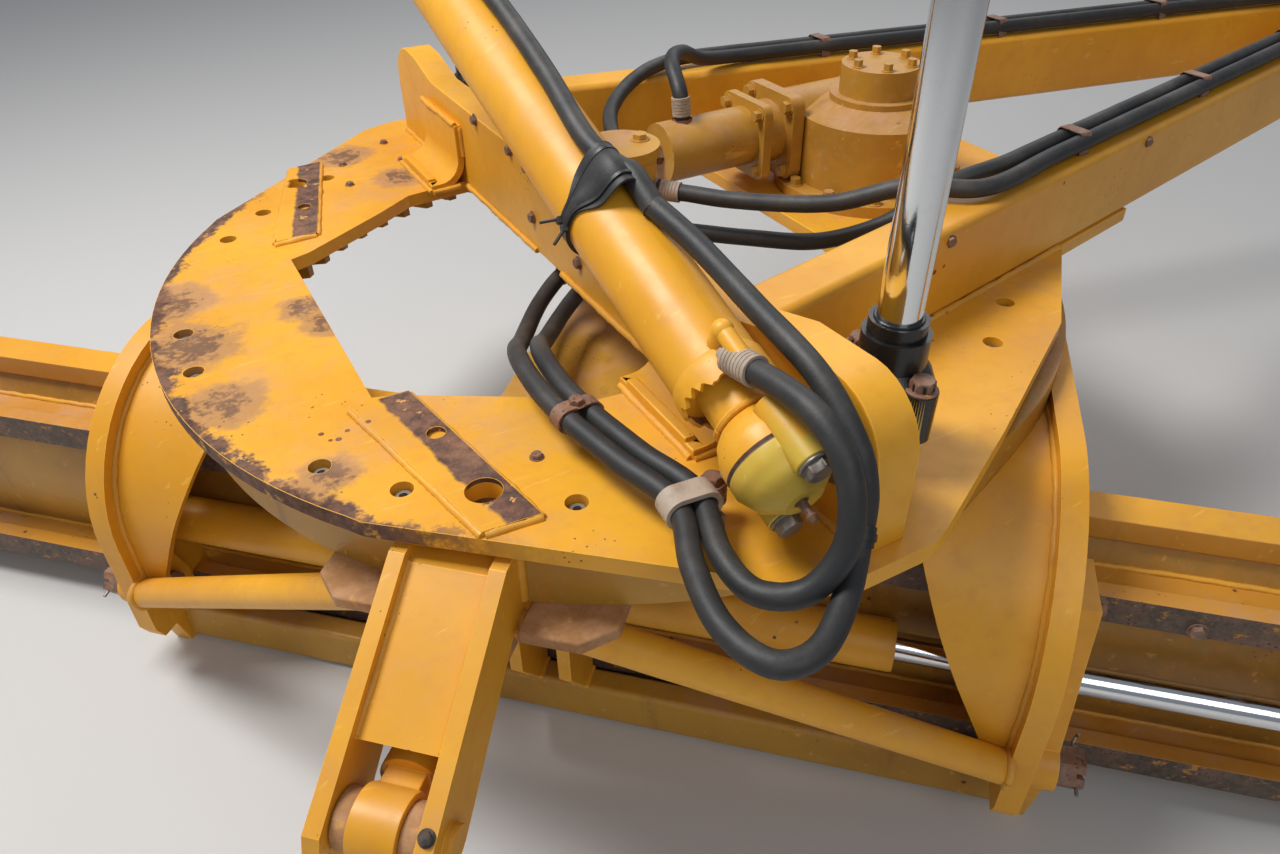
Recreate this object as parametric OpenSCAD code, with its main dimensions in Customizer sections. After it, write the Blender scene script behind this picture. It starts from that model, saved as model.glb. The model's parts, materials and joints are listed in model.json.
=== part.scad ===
// Drawbar, circle and moldboard of a motor grader, with their cylinders.
// The origin is the centre of the draft ball, +X is forward, +Y left and +Z up, in millimetres.
// What turns with the circle is drawn facing forward and is turned by circle_turn at rest.

/* [Pose at rest] */
// Turn of the circle from straight ahead, in degrees
circle_turn = 46.35; // [0:0.05:60]

/* [Drawbar] */
// Distance from the draft ball back to the centre of the circle
draft_reach = 2450; // [2300:10:2700]
// Height of the draft ball above the top of the plate
draft_rise = 75; // [65:1:85]
// Thickness of the drawbar plate
plate_t = 25; // [16:1:32]
// Radius of the plate's rear rim
rim_r = 800; // [790:1:815]
// Width of each beam
beam_w = 85; // [60:1:100]
// Height of each beam
beam_h = 150; // [120:1:170]
// Radius of the beam's rounded long edges
beam_round = 14; // [4:1:20]
// Half distance between the beams' outer faces beside the circle's centre
beam_half = 546; // [530:1:560]
// Distance that a beam comes inward for each unit forward
beam_slope = 0.2025; // [0.19:0.0005:0.215]
// Length of the nose block
nose_len = 180; // [120:1:200]
// Thickness of the bolted draft flange
flange_t = 30; // [20:1:40]
// Radius of the draft ball
draft_ball_r = 65; // [50:1:75]

/* [Yoke] */
// Thickness of the upright cross member
yoke_t = 58; // [40:1:62]
// Distance of the yoke's front face behind the circle's centre
yoke_back = 88; // [80:1:94]
// Height of the yoke between its ears
yoke_h = 168; // [150:1:185]
// Height of the ears
ear_h = 200; // [185:1:220]
// Distance from the middle to the outer edge of the right ear
ear_right = 846; // [830:1:860]
// Distance from the middle to the outer edge of the left ear
ear_left = 800; // [785:1:830]
// Radius of the ears' outer corners
ear_round = 85; // [40:1:100]

/* [Wear pads] */
// Thickness of the raised pads on the plate
pad_t = 8; // [4:1:14]

/* [Circle drive] */
// Number of teeth inside the circle
ring_teeth = 64; // [60:1:70]
// Number of teeth on the drive pinion
pinion_teeth = 9; // [8:1:10]
// Tooth size: pitch diameter over the number of teeth
tooth_module = 20.6; // [20:0.1:21]
// Radius of the gearbox housing
gearbox_r = 150; // [120:1:165]
// Radius of the motor
motor_r = 56; // [40:1:60]
// Radius of the hydraulic swivel
swivel_r = 62; // [50:1:66]

/* [Circle] */
// Outer radius of the circle ring
ring_r = 765; // [755:1:780]
// Height of the circle ring
ring_h = 90; // [84:1:100]
// Gap between the drawbar plate and the circle ring
ring_gap = 10; // [6:1:14]
// Thickness of the hose arm under the ring
hose_arm_t = 12; // [8:1:16]

/* [Blade arms] */
// Half distance between the arms' outer faces
arm_half = 770; // [768:1:780]
// Thickness of each arm
arm_t = 36; // [25:1:40]
// Radius of the arm's outer sweep
arm_sweep_r = 296; // [290:1:302]
// Radius of the arm's inner sweep
arm_inner_r = 315; // [300:1:325]
// Thickness of the curved web inside each arm
web_t = 14; // [8:1:20]
// Depth of the arm's foot under the tilt pin
arm_foot = 80; // [60:1:84]
// Radius of the tilt pins
pivot_r = 26; // [18:1:30]
// Radius of the brace tubes
brace_r = 26; // [16:1:32]

/* [Tip cylinder] */
// Radius of the tip cylinder's barrel
tip_barrel_r = 40; // [30:1:46]
// Radius of the tip cylinder's rod
tip_rod_r = 20; // [12:1:24]
// Half width between the bracket's two plates
tip_gap = 54; // [46:1:60]
// Thickness of the bracket's plates
tip_plate_t = 22; // [14:1:28]

/* [Moldboard] */
// Length of the moldboard
blade_len = 3660; // [3300:10:3900]
// Radius of the moldboard's front face
blade_curve_r = 413; // [405:1:425]
// Thickness of the moldboard
blade_t = 22; // [16:1:24]
// Thickness of the cutting edge
edge_t = 19; // [12:1:24]
// Length of each bolt-on end bit
end_bit_len = 230; // [150:1:300]
// Half height of the head of each slide rail
rail_head = 25; // [18:1:30]
// Length of the slide rails
rail_len = 3000; // [2900:10:3200]
// Radius of the side-shift rod
shift_rod_r = 23; // [16:1:28]
// Radius of the side-shift barrel
shift_barrel_r = 42; // [34:1:44]

/* [Lift cylinders] */
// Radius of the chrome lift rods
lift_rod_r = 27; // [22:1:32]
// Radius of the lift barrels
lift_barrel_r = 58; // [50:1:70]
// Length of a lift barrel
lift_barrel_len = 1250; // [1200:10:1400]
// Radius of the trunnion pins
trunnion_r = 32; // [20:1:38]
// Outward lean of the lift cylinders, in degrees
lift_lean = 1.4; // [0:0.1:3]

/* [Centre-shift cylinder] */
// Radius of the barrel
centre_barrel_r = 57; // [50:1:62]
// Radius of the rod
centre_rod_r = 30; // [22:1:36]
// Rise of the cylinder's axis towards the left, in degrees
centre_rise = 19.1; // [15:0.1:22]

/* [Hoses] */
// Radius of the hoses
hose_r = 14.5; // [10:0.5:16]

/* [Hidden] */
$fn = 64;

fit = 0.05;
seat = 0.3;
yellow = [0.93, 0.62, 0.07];
worn = [0.36, 0.22, 0.16];
steel = [0.55, 0.52, 0.5];
chrome = [0.82, 0.83, 0.85];
black = [0.1, 0.1, 0.1];

beam_angle = atan(beam_slope);
beam_inner = beam_half - beam_w / cos(beam_angle);
shelf_front = 900;
shelf_rear = 326;
wing_front = 670;
nose_rear = 2150;
yoke_rear = yoke_back + yoke_t;
ring_top = -plate_t - ring_gap;
ring_bottom = ring_top - ring_h;

ring_pitch_r = ring_teeth * tooth_module / 2;
pinion_pitch_r = pinion_teeth * tooth_module / 2;
pinion_x = ring_pitch_r - pinion_pitch_r;
pressure_angle = 25;
backlash = 1;
ring_tip_r = ring_pitch_r - 14.2;
ring_root_r = ring_pitch_r + 25;
pinion_tip_r = pinion_pitch_r + 14.5;
pinion_root_r = pinion_pitch_r - 22.5;
lip_t = 14;
toe_t = 12;
groove_h = 17;

tilt_pin = [-555, -510];
sweep_centre = [-321, -359];
inner_centre = [-212, -375];
tip_pin_rear = [-1030, -230];
tip_pin_front = [-510, -262];
blade_centre = [29, -430];
blade_half_h = 250;
blade_back_r = blade_curve_r + blade_t;
rail_z = [-270, -600];
rail_head_x = [-455, -425];
side_shift = [-460, -420];
anchor_y = -1165;
carrier_in = arm_half + 6;
carrier_out = carrier_in + 36;

lift_ball = [0, 695, 85];
centre_ball = [-220, -765, 115];

function unit(v) = v / norm(v);
function arc(c, r, a0, a1, n = 8) =
    [for (i = [0:n]) let (a = a0 + (a1 - a0) * i / n) c + r * [cos(a), sin(a)]];
function mirror_y(p) = [for (i = [len(p) - 1:-1:0]) [p[i][0], -p[i][1]]];
function mirror_x(p) = [for (i = [len(p) - 1:-1:0]) [-p[i][0], p[i][1]]];
function round_rect(x0, x1, y0, y1, r) = concat(
    arc([x1 - r, y1 - r], r, 0, 90, 5), arc([x0 + r, y1 - r], r, 90, 180, 5),
    arc([x0 + r, y0 + r], r, 180, 270, 5), arc([x1 - r, y0 + r], r, 270, 360, 5));

// An involute tooth's half angle at radius r, in degrees
function involute(base, r) = let (a = acos(min(1, base / r))) tan(a) * 180 / PI - a;
function tooth_half(n, pitch, r, slack) = let (base = pitch * cos(pressure_angle))
    90 / n + involute(base, pitch) - involute(base, max(r, base)) - slack / pitch * 180 / PI;
function gear_outline(n, pitch, root, tip, slack, steps = 3) = [for (k = [0:n - 1])
    for (s = [-1, 1]) for (i = [0:steps])
        let (f = (s < 0 ? i : steps - i) / steps, r = root + (tip - root) * f)
        let (a = 360 * k / n + s * tooth_half(n, pitch, r, slack)) r * [cos(a), sin(a)]];

// A smooth route through hand-placed points, and the tube that a hose makes along it
function between(a, b, c, d, t) = 0.5 * (2 * b + (c - a) * t + (2 * a - 5 * b + 4 * c - d) * t * t
    + (3 * b - a - 3 * c + d) * t * t * t);
function route(p, steps) = concat([for (i = [0:len(p) - 2]) for (s = [0:steps - 1])
    between(p[max(i - 1, 0)], p[i], p[i + 1], p[min(i + 2, len(p) - 1)], s / steps)], [p[len(p) - 1]]);
function headings(p) = [for (i = [0:len(p) - 1]) unit(p[min(i + 1, len(p) - 1)] - p[max(i - 1, 0)])];
function sides_of(t, first) = [for (i = 0, v = unit(first - t[0] * (t[0] * first)); i < len(t);
    i = i + 1, v = i < len(t) ? unit(v - t[i] * (t[i] * v)) : v) v];

module hose(points, r, first = [0, 0, 1], steps = 2, sides = 8) {
    p = route(points, steps);
    t = headings(p);
    v = sides_of(t, first);
    rings = [for (i = [0:len(p) - 1]) for (k = [0:sides - 1])
        p[i] + r * (cos(360 * k / sides) * v[i] + sin(360 * k / sides) * cross(t[i], v[i]))];
    walls = [for (i = [0:len(p) - 2]) for (k = [0:sides - 1])
        [i * sides + k, i * sides + (k + 1) % sides, (i + 1) * sides + (k + 1) % sides,
         (i + 1) * sides + k]];
    last = (len(p) - 1) * sides;
    polyhedron(rings, concat(walls, [[for (k = [sides - 1:-1:0]) k]], [[for (k = [0:sides - 1]) last + k]]));
}

module at_circle() translate([-draft_reach, 0, -draft_rise]) children();
module on_circle() at_circle() rotate([0, 0, circle_turn]) children();
module side_plate(y0, y1) translate([0, y1, 0]) rotate([90, 0, 0]) linear_extrude(y1 - y0) children();
module across(x0, x1) translate([x0, 0, 0]) rotate([90, 0, 90]) linear_extrude(x1 - x0) children();
module upright(z0, z1) translate([0, 0, z0]) linear_extrude(z1 - z0) children();
module x_rod(r, x0, x1) translate([x0, 0, 0]) rotate([0, 90, 0]) cylinder(h = x1 - x0, r = r);
module y_rod(r, y0, y1) translate([0, y0, 0]) rotate([-90, 0, 0]) cylinder(h = y1 - y0, r = r);
module both_sides() {
    children();
    mirror([0, 1, 0]) children();
}
module bar(p, q, r) {
    d = q - p;
    translate(p) rotate([0, acos(d[2] / norm(d)), atan2(d[1], d[0])]) cylinder(h = norm(d), r = r);
}
// A bolt with a washer, standing on the plane z = 0
module bolt(r, h = 12) {
    cylinder(h = 3, r = r * 1.3, $fn = 24);
    cylinder(h = 3 + h, r = r, $fn = 6);
}
// Bolts on a circle around the axis
module bolt_ring(count, ring_r, r, h = 12) for (a = [0:360 / count:359])
    rotate([0, 0, a]) translate([ring_r, 0, 0]) bolt(r, h);

// Drawbar plate: the C-shaped plate over the circle, with its holes
rim_y = 0.6 * rim_r;
rim_x = 0.8 * rim_r;
plate_side = [[-rim_r - 50, rim_y], [-rim_x, rim_y], [-627, 500], [-235, 846], [-165, 870], [-60, 870],
    [-30, 858], [170, 755], [455, 598], [wing_front, beam_half - beam_slope * wing_front]];
opening_side = [[-540, 250], [-505, 262], [-343, 364], [-270, 416], [-221, 422], [-113, 430],
    [shelf_rear, beam_inner - beam_slope * shelf_rear],
    [wing_front + 1, beam_inner - beam_slope * (wing_front + 1)]];
// Each hole: x, y, radius
plate_holes = [[-747, 75, 15], [-750, -49, 15], [-643, -368, 15], [-565, -466, 15], [-623, 396, 15],
    [-541, 486, 15], [-387, -598, 15], [-387, 598, 15], [429, -507, 15], [321, -586, 15],
    [429, 507, 15], [321, 586, 15], [-455, 583, 24], [-480, -529, 24]];

module drawbar_plate() color(yellow) at_circle() difference() {
    upright(-plate_t, 0) difference() {
        polygon(concat(plate_side, mirror_y(plate_side)));
        polygon(concat(opening_side, mirror_y(opening_side)));
        difference() {
            translate([-rim_r - 60, -rim_y - 1]) square([rim_r - rim_x + 60, 2 * rim_y + 2]);
            circle(r = rim_r);
        }
    }
    for (h = plate_holes) translate([h[0], h[1], -plate_t - 1]) cylinder(h = plate_t + 2, r = h[2]);
}

shelf_side = [[shelf_rear, beam_inner - beam_slope * shelf_rear],
    [wing_front, beam_inner - beam_slope * wing_front],
    [wing_front, beam_half - beam_slope * wing_front],
    [shelf_front, beam_half - beam_slope * shelf_front]];
pinion_shaft_r = 34;
shaft_top = 58;
module gearbox_shelf() color(yellow) at_circle() difference() {
    upright(-plate_t, 0) polygon(concat(shelf_side, mirror_y(shelf_side)));
    translate([pinion_x, 0, -plate_t - 1]) cylinder(h = plate_t + 2, r = pinion_shaft_r + 26);
}

module beam() intersection() {
    translate([0, beam_half, 0]) rotate([0, 0, -beam_angle]) across(-300, nose_rear + 300)
        polygon(round_rect(-beam_w, 0, 0, beam_h, beam_round));
    translate([-yoke_back, -10, -1]) cube([nose_rear + yoke_back, beam_half + 100, beam_h + 2]);
}
module beam_left() color(yellow) at_circle() beam();
module beam_right() color(yellow) at_circle() mirror([0, 1, 0]) beam();

nose_half = beam_half - beam_slope * nose_rear;
nose_front = nose_rear + nose_len;
module nose_block() color(yellow) at_circle() {
    across(nose_rear, nose_front) polygon(round_rect(-nose_half, nose_half, 0, beam_h, beam_round));
    across(nose_front, nose_front + flange_t)
        polygon(round_rect(-nose_half - 25, nose_half + 25, -30, beam_h + 30, 40));
}

module draft_ball() color(steel) rotate([0, -90, 0]) {
    flange_x = draft_reach - nose_front - flange_t;
    rotate_extrude() difference() {
        union() {
            circle(r = draft_ball_r);
            translate([0, 0]) square([0.7 * draft_ball_r, flange_x]);
            translate([0, flange_x - 18]) square([1.45 * draft_ball_r, 18]);
        }
        translate([-200, -200]) square([200, 500]);
    }
}

// Yoke: the upright cross member whose ears carry the cylinders' ball studs
ear_inner = 660;
ear_foot = 560;
function ear(half) = concat([[half, 0]], arc([half - ear_round, ear_h - ear_round], ear_round, 0, 90),
    [[ear_inner, ear_h - 4], [ear_foot, yoke_h]]);
module lift_yoke() color(yellow) at_circle() across(-yoke_rear, -yoke_back)
    polygon(concat(ear(ear_left), mirror_x(ear(ear_right))));

// A bent plate on each side from the drawbar plate up the yoke's rear face, with a strip on its foot
gusset_t = 15;
gusset_r = 58;
gusset_h = 126;
gusset_y = [402, 600];
gusset_end = -yoke_rear - gusset_r - 18;
module yoke_gussets() color(yellow) at_circle() both_sides() {
    side_plate(gusset_y[0], gusset_y[1]) polygon(concat(
        [[-yoke_rear, gusset_h], [-yoke_rear - gusset_t, gusset_h]],
        arc([-yoke_rear - gusset_r, gusset_r], gusset_r - gusset_t, 0, -90, 6),
        [[gusset_end, gusset_t], [gusset_end, 0]],
        arc([-yoke_rear - gusset_r, gusset_r], gusset_r, -90, 0, 6)));
    translate([gusset_end, gusset_y[0] + 20, gusset_t]) cube([16, gusset_y[1] - gusset_y[0] - 40, 7]);
}

// Raised pads on the plate: rear inner, front inner, front outer and rear outer corners, hole, slot
pads = [
    [[-576, -269], [-491, -271], [-435, -604], [-510, -598], [-480, -529], [-491, -386]],
    [[-553, 321], [-474, 323], [-380, 678], [-447, 673], [-455, 583], [-467, 455]]];
module wear_pads() color(yellow) at_circle() for (p = pads) difference() {
    upright(0, pad_t) polygon([p[0], p[1], p[2], p[3]]);
    translate([p[4][0], p[4][1], -1]) cylinder(h = pad_t + 2, r = 24);
    translate([p[5][0], p[5][1], -1]) cylinder(h = pad_t + 2, r = 13);
}

// Shoes bolted under the plate, whose toes carry the ring by its lip
shoe_azimuths = [50, 120, 160, 200, 240, 310];
shoe_r = [ring_root_r - 44, ring_root_r - 3];
module circle_shoes() color(worn) at_circle() for (a = shoe_azimuths)
    rotate([0, 0, a - 7]) rotate_extrude(angle = 14) polygon([
        [shoe_r[0], -plate_t], [shoe_r[0], ring_top - lip_t - seat - toe_t],
        [shoe_r[1] + 20, ring_top - lip_t - seat - toe_t], [shoe_r[1] + 20, ring_top - lip_t - seat],
        [shoe_r[1], ring_top - lip_t - seat], [shoe_r[1], -plate_t]]);

stud_ball_r = 40;
module ball_stud(base_r, neck_r, h) rotate_extrude() difference() {
    union() {
        square([base_r, 8]);
        square([neck_r, h]);
        translate([0, h]) circle(r = stud_ball_r);
    }
    translate([-200, -200]) square([200, 600]);
}
module lift_studs() color(steel) at_circle() both_sides()
    translate([-yoke_back, lift_ball[1], lift_ball[2]]) rotate([0, 90, 0])
        ball_stud(48, 24, yoke_back + lift_ball[0]);
module centre_shift_stud() color(steel) at_circle()
    translate([-yoke_rear, centre_ball[1], centre_ball[2]]) rotate([0, -90, 0])
        ball_stud(52, 24, -yoke_rear - centre_ball[0]);

// Gearbox: a round housing with a bolted foot, a domed lid and the worm housing on its left
worm_y = 110;
worm_z = 105;
module gearbox() color(yellow) at_circle() translate([pinion_x, 0, 0]) difference() {
    union() {
        cylinder(h = 22, r = gearbox_r + 38);
        translate([0, 0, 21]) rotate([0, 0, 24]) bolt_ring(12, gearbox_r + 20, 11);
        cylinder(h = 148, r = gearbox_r);
        translate([0, 0, 148]) cylinder(h = 22, r1 = gearbox_r, r2 = 96);
        translate([0, 0, 165]) cylinder(h = 16, r = 92);
        translate([0, 0, 181]) cylinder(h = 54, r = 75);
        translate([0, 0, 234]) bolt_ring(6, 58, 9);
        translate([0, worm_y, worm_z]) x_rod(72, -gearbox_r, gearbox_r - 20);
    }
    translate([0, 0, -1]) cylinder(h = shaft_top + 3, r = pinion_shaft_r + fit);
}

motor_rear = 140;
motor_front = 330;
motor_bolt_r = 76;
module drive_motor() color(yellow) at_circle() translate([0, worm_y, worm_z]) {
    x_rod(motor_r, motor_rear, motor_front);
    across(motor_front, motor_front + 18) polygon(round_rect(-72, 72, -72, 72, 18));
    x_rod(motor_r + 4, motor_front + 18, pinion_x - gearbox_r - 26);
    across(pinion_x - gearbox_r - 26, pinion_x - gearbox_r) polygon(round_rect(-80, 80, -80, 80, 20));
    for (a = [45:90:315]) rotate([a, 0, 0]) {
        translate([motor_front + 1, 0, motor_bolt_r]) rotate([0, -90, 0]) bolt(10);
        translate([pinion_x - gearbox_r - 25, 0, motor_bolt_r + 12]) rotate([0, -90, 0]) bolt(12);
    }
}

spigot_r = 30;
swivel_low = -58;
swivel_high = 186;
module swivel() color(yellow) at_circle() difference() {
    union() {
        translate([0, 0, swivel_low]) cylinder(h = swivel_high - swivel_low, r = swivel_r);
        translate([0, 0, swivel_high - 18]) cylinder(h = 18, r = swivel_r + 6);
        translate([-yoke_back, -50, 20]) cube([yoke_back - 10, 100, 110]);
        for (x = [-38, 38]) translate([x, 0, swivel_high - 1]) bolt(13, 9);
    }
    translate([0, 0, swivel_low - 1]) cylinder(h = 91, r = spigot_r + fit);
}

// Posts that carry the hose clamps on the plate
clamp_posts = [[-279, -708, 34], [-317, -495, 34]];
module hose_clamps() color(worn) at_circle() for (c = clamp_posts) translate([c[0], c[1], 0]) {
    cylinder(h = 12, r = 12);
    translate([-14, -32, 12]) cube([28, 64, c[2] - 12]);
}

// Hoses, each a route of hand-placed points from the circle's centre on the plate's top
outer_loop = [[-58.8, 21.4, -40], [-80, 29, -41], [-118, 24, -45], [-190, -40, -52], [-272, -160, -35],
    [-318, -255, 12],
    [-345, -345, 44], [-354, -430, 51], [-350, -510, 52], [-335, -610, 52], [-314, -712, 50],
    [-347, -800, 47], [-366, -885, 46], [-350, -948, 46], [-304, -960, 50], [-244, -925, 60],
    [-198, -884, 88], [-185, -869, 132], [-183, -842, 176], [-182, -773, 219], [-182, -660, 242],
    [-186, -540, 270], [-200, -462, 292]];
inner_loop = [[-58.8, -21.4, -40], [-80, -29, -41], [-112, -44, -46], [-165, -85, -54], [-238, -175, -38],
    [-284, -262, 12],
    [-312, -350, 44], [-321, -430, 50], [-317, -505, 50], [-302, -610, 50], [-283, -705, 50],
    [-312, -800, 47], [-312, -866, 48], [-276, -902, 62], [-240, -908, 104], [-227, -896, 154],
    [-224, -870, 195], [-225, -829, 216], [-227, -778, 218], [-229, -717, 210]];
module loop_hoses() color(black) at_circle() {
    hose(outer_loop, hose_r);
    hose(inner_loop, hose_r);
}

// The hose that goes on along the top of the centre-shift barrel, in the cylinder's own frame
lay = centre_barrel_r + hose_r + seat;
module barrel_hose() color(black) centre_frame()
    hose([[392, -18, lay + 4], [470, 4, lay], [620, -6, lay], [780, -10, lay], [940, -4, lay],
        [1080, 0, lay]], hose_r, [0, 1, 0]);

// Hoses along the beams' tops: each starts at the swivel or motor and ends at the coupling plate
couple_x = nose_rear + 90;
couple_z = beam_h + 20;
function on_beam(x, side, offset) = [x, side * (beam_inner - beam_slope * x + offset), couple_z];
function beam_run(side, offset) = [for (x = [620:300:1820]) on_beam(x, side, offset)];
function couple_end(y) = [[couple_x - 120, y, couple_z], [couple_x - 60, y, couple_z],
    [couple_x - 0.5, y, couple_z]];
module beam_hoses_right() color(black) at_circle() {
    hose(concat([[41, -47.2, 112], [78, -90, 112], [140, -165, 112], [240, -275, 126], [320, -362, 168]],
        [on_beam(420, -1, 56)], beam_run(-1, 56), couple_end(-72)), hose_r);
    hose(concat([[44.2, -44.2, 38], [85, -85, 38], [160, -160, 38], [250, -245, 44], [330, -318, 88]],
        [[410, -352, 146], on_beam(510, -1, 20)], beam_run(-1, 20), couple_end(-32)), hose_r);
}
module beam_hoses_left() color(black) at_circle() {
    hose(concat([[190, 110, 161.9], [190, 110, 180], [190, 120, 212], [215, 190, 246], [300, 290, 226]],
        [[390, 362, 184], on_beam(490, 1, 20)], beam_run(1, 20), couple_end(32)), hose_r, [1, 0, 0]);
    hose(concat([[139.1, 110, 105], [118, 110, 105], [92, 118, 107], [78, 170, 128], [120, 262, 150]],
        [[230, 368, 164], [350, 425, 170], on_beam(480, 1, 52)], beam_run(1, 52), couple_end(72)), hose_r);
}
module coupling_plate() color(yellow) at_circle() translate([couple_x, -95, beam_h]) cube([16, 190, 50]);

// Circle ring with its internal teeth and the groove for the shoes
module ring_wall() translate([0, 0, ring_bottom]) cylinder(h = ring_h, r = ring_r);
module circle_ring() color(yellow) on_circle() difference() {
    ring_wall();
    upright(ring_bottom - 1, ring_top - lip_t - groove_h - 4)
        polygon(gear_outline(ring_teeth, ring_pitch_r, ring_tip_r, ring_root_r, -backlash));
    upright(ring_top - lip_t - groove_h - 5, ring_top + 1) circle(r = ring_root_r + 2);
    upright(ring_top - lip_t - groove_h, ring_top - lip_t) circle(r = ring_root_r + 22);
}

module drive_pinion() color(steel) at_circle() translate([pinion_x, 0, 0])
    rotate([0, 0, circle_turn * ring_teeth / pinion_teeth]) {
        upright(ring_bottom + 7, ring_top - lip_t - groove_h - 7)
            polygon(gear_outline(pinion_teeth, pinion_pitch_r, pinion_root_r, pinion_tip_r, backlash));
        translate([0, 0, ring_top - lip_t - groove_h - 8])
            cylinder(h = shaft_top - (ring_top - lip_t - groove_h - 8), r = pinion_shaft_r);
    }

// Arm: a plate that sweeps back and down from the ring to the tilt pin, with a curved web inside
arm_top = sweep_centre[1] + arm_sweep_r;
arm_rear = sweep_centre[0] - arm_sweep_r;
foot_z = tilt_pin[1] - arm_foot;
foot_front = tilt_pin[0] + 58;
module arm_outline() difference() {
    union() {
        polygon([[sweep_centre[0] - 40, arm_top - 6], [sweep_centre[0], arm_top], [220, arm_top],
            [250, arm_top - 20], [250, ring_bottom], [-330, ring_bottom], [-430, -150]]);
        difference() {
            polygon(concat(arc(sweep_centre, arm_sweep_r, 90, 180, 14),
                [[arm_rear, foot_z + 30], [arm_rear + 14, foot_z], [foot_front, foot_z],
                    [foot_front, inner_centre[1] - 60], [sweep_centre[0], inner_centre[1]]]));
            translate(inner_centre) circle(r = arm_inner_r);
        }
    }
    translate(tilt_pin) circle(r = pivot_r + fit);
}
web_r = arm_sweep_r - 25;
web_top = 500;
web_low = -505;
web_edge = [[arm_half - arm_t + 5, 0], [web_top, 0], [545, ring_bottom], [600, -250],
    [690, -440], [700, web_low], [arm_half - arm_t + 5, web_low]];
module web_outline() {
    difference() {
        translate(sweep_centre) circle(r = web_r);
        translate(sweep_centre) circle(r = web_r - web_t);
        translate([sweep_centre[0], -900]) square([600, 900]);
        translate([-900, -900]) square([900, 900 + sweep_centre[1]]);
    }
    translate([sweep_centre[0] - 1, sweep_centre[1] + web_r - web_t]) square([150, web_t]);
    translate([sweep_centre[0] - web_r, web_low - 1]) square([web_t, sweep_centre[1] - web_low + 2]);
}
module arm() difference() {
    union() {
        side_plate(arm_half - arm_t, arm_half) arm_outline();
        intersection() {
            side_plate(web_top, arm_half - arm_t + 1) web_outline();
            across(-900, 0) polygon(web_edge);
        }
    }
    translate([0, 0, ring_bottom - 1]) cylinder(h = ring_h + 20, r = ring_r);
    brace_tube(brace_r + seat);
    translate([tilt_pin[0], 0, tilt_pin[1]]) {
        y_rod(pivot_r + 8, arm_half - arm_t - 14, arm_half - arm_t);
        y_rod(pivot_r + fit, arm_half - arm_t - 1, arm_half - arm_t + 2);
    }
}
module arm_left() color(yellow) on_circle() arm();
module arm_right() color(yellow) on_circle() mirror([0, 1, 0]) arm();

tube_pad_t = 20;
module brace_tube(r) intersection() {
    bar([-585, 816, -515], [-777, 107, -135], r);
    translate([-1000, 0, -700]) cube([1000, arm_half - arm_t, 700 + ring_bottom - tube_pad_t]);
}
module brace_tubes() color(yellow) on_circle() both_sides() brace_tube(brace_r);
module tube_pads() color([0.72, 0.5, 0.4]) on_circle() both_sides()
    upright(ring_bottom - tube_pad_t, ring_bottom)
        polygon([[-705, 84], [-812, 84], [-812, 165], [-775, 205], [-705, 205]]);

// Bracket behind the ring: two plates, a cross plate and the pin of the tip cylinder
tip_plate = [[-730, ring_top], [-800, ring_top], [-1075, -205], [-1090, -245], [-1050, -285],
    [-1000, -280], [-800, -140], [-730, ring_bottom]];
module tip_bracket() color(yellow) on_circle() difference() {
    union() {
        both_sides() side_plate(tip_gap, tip_gap + tip_plate_t) polygon(tip_plate);
        side_plate(-tip_gap - 1, tip_gap + 1)
            polygon([[-730, -50], [-798, -50], [-975, -160], [-965, -176], [-793, -69], [-730, -69]]);
        translate([tip_pin_rear[0], 0, tip_pin_rear[1]]) y_rod(22, -tip_gap - 30, tip_gap + 30);
    }
    translate([0, 0, ring_bottom - 1]) cylinder(h = ring_h + 20, r = ring_r);
}

module hose_arm() color(yellow) on_circle() {
    upright(ring_bottom - hose_arm_t, ring_bottom) polygon([[-700, -120], [-700, 120], [-150, 120],
        [80, 70], [80, -70], [-150, -120]]);
    translate([0, 0, ring_bottom]) cylinder(h = swivel_low - 4 - ring_bottom, r = 50);
    translate([0, 0, swivel_low - 5]) cylinder(h = 80, r = spigot_r);
}

// Tilt pins through the arms, each with a head inside and a castellated nut outside
module pivot_pins() color(worn) on_circle() both_sides() translate([tilt_pin[0], 0, tilt_pin[1]]) {
    y_rod(pivot_r, arm_half - arm_t - 10, carrier_out + 20);
    y_rod(pivot_r + 6, arm_half - arm_t - 12, arm_half - arm_t);
    translate([0, carrier_out + 1, 0]) rotate([-90, 0, 0]) difference() {
        cylinder(h = 38, r = pivot_r + 7, $fn = 6);
        for (a = [0:60:120]) rotate([0, 0, a + 30]) translate([-50, -4, 26]) cube([100, 8, 13]);
    }
}

// Carrier end: the bracket that turns on the tilt pin and whose jaws hold both rails
jaw_front = -408;
beam_z = [-700, -612];
jaw_half = 50;
module jaw_slot(z) {
    translate([rail_head_x[0] - seat, z - rail_head - seat])
        square([rail_head_x[1] - rail_head_x[0] + 2 * seat, 2 * (rail_head + seat)]);
    translate([rail_head_x[1], z - 9 - seat]) square([60, 18 + 2 * seat]);
}
module carrier_end() difference() {
    side_plate(carrier_in, carrier_out) difference() {
        polygon(concat(arc(tilt_pin, pivot_r + 14, 260, 100, 10), [[-515, rail_z[0] + jaw_half],
            [jaw_front, rail_z[0] + jaw_half], [jaw_front, rail_z[0] - jaw_half], [-418, -340],
            [-418, -530], [jaw_front, rail_z[1] + jaw_half], [jaw_front, rail_z[1] - jaw_half],
            [-455, beam_z[0] - 5], [-520, beam_z[0] - 5]]));
        jaw_slot(rail_z[0]);
        jaw_slot(rail_z[1]);
        translate(tilt_pin) circle(r = pivot_r + fit);
    }
    translate([side_shift[0], 0, side_shift[1]]) y_rod(34, carrier_in - 1, carrier_out + 1);
}
module carrier_end_left() color(yellow) on_circle() carrier_end();
module carrier_end_right() color(yellow) on_circle() mirror([0, 1, 0]) carrier_end();

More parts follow.
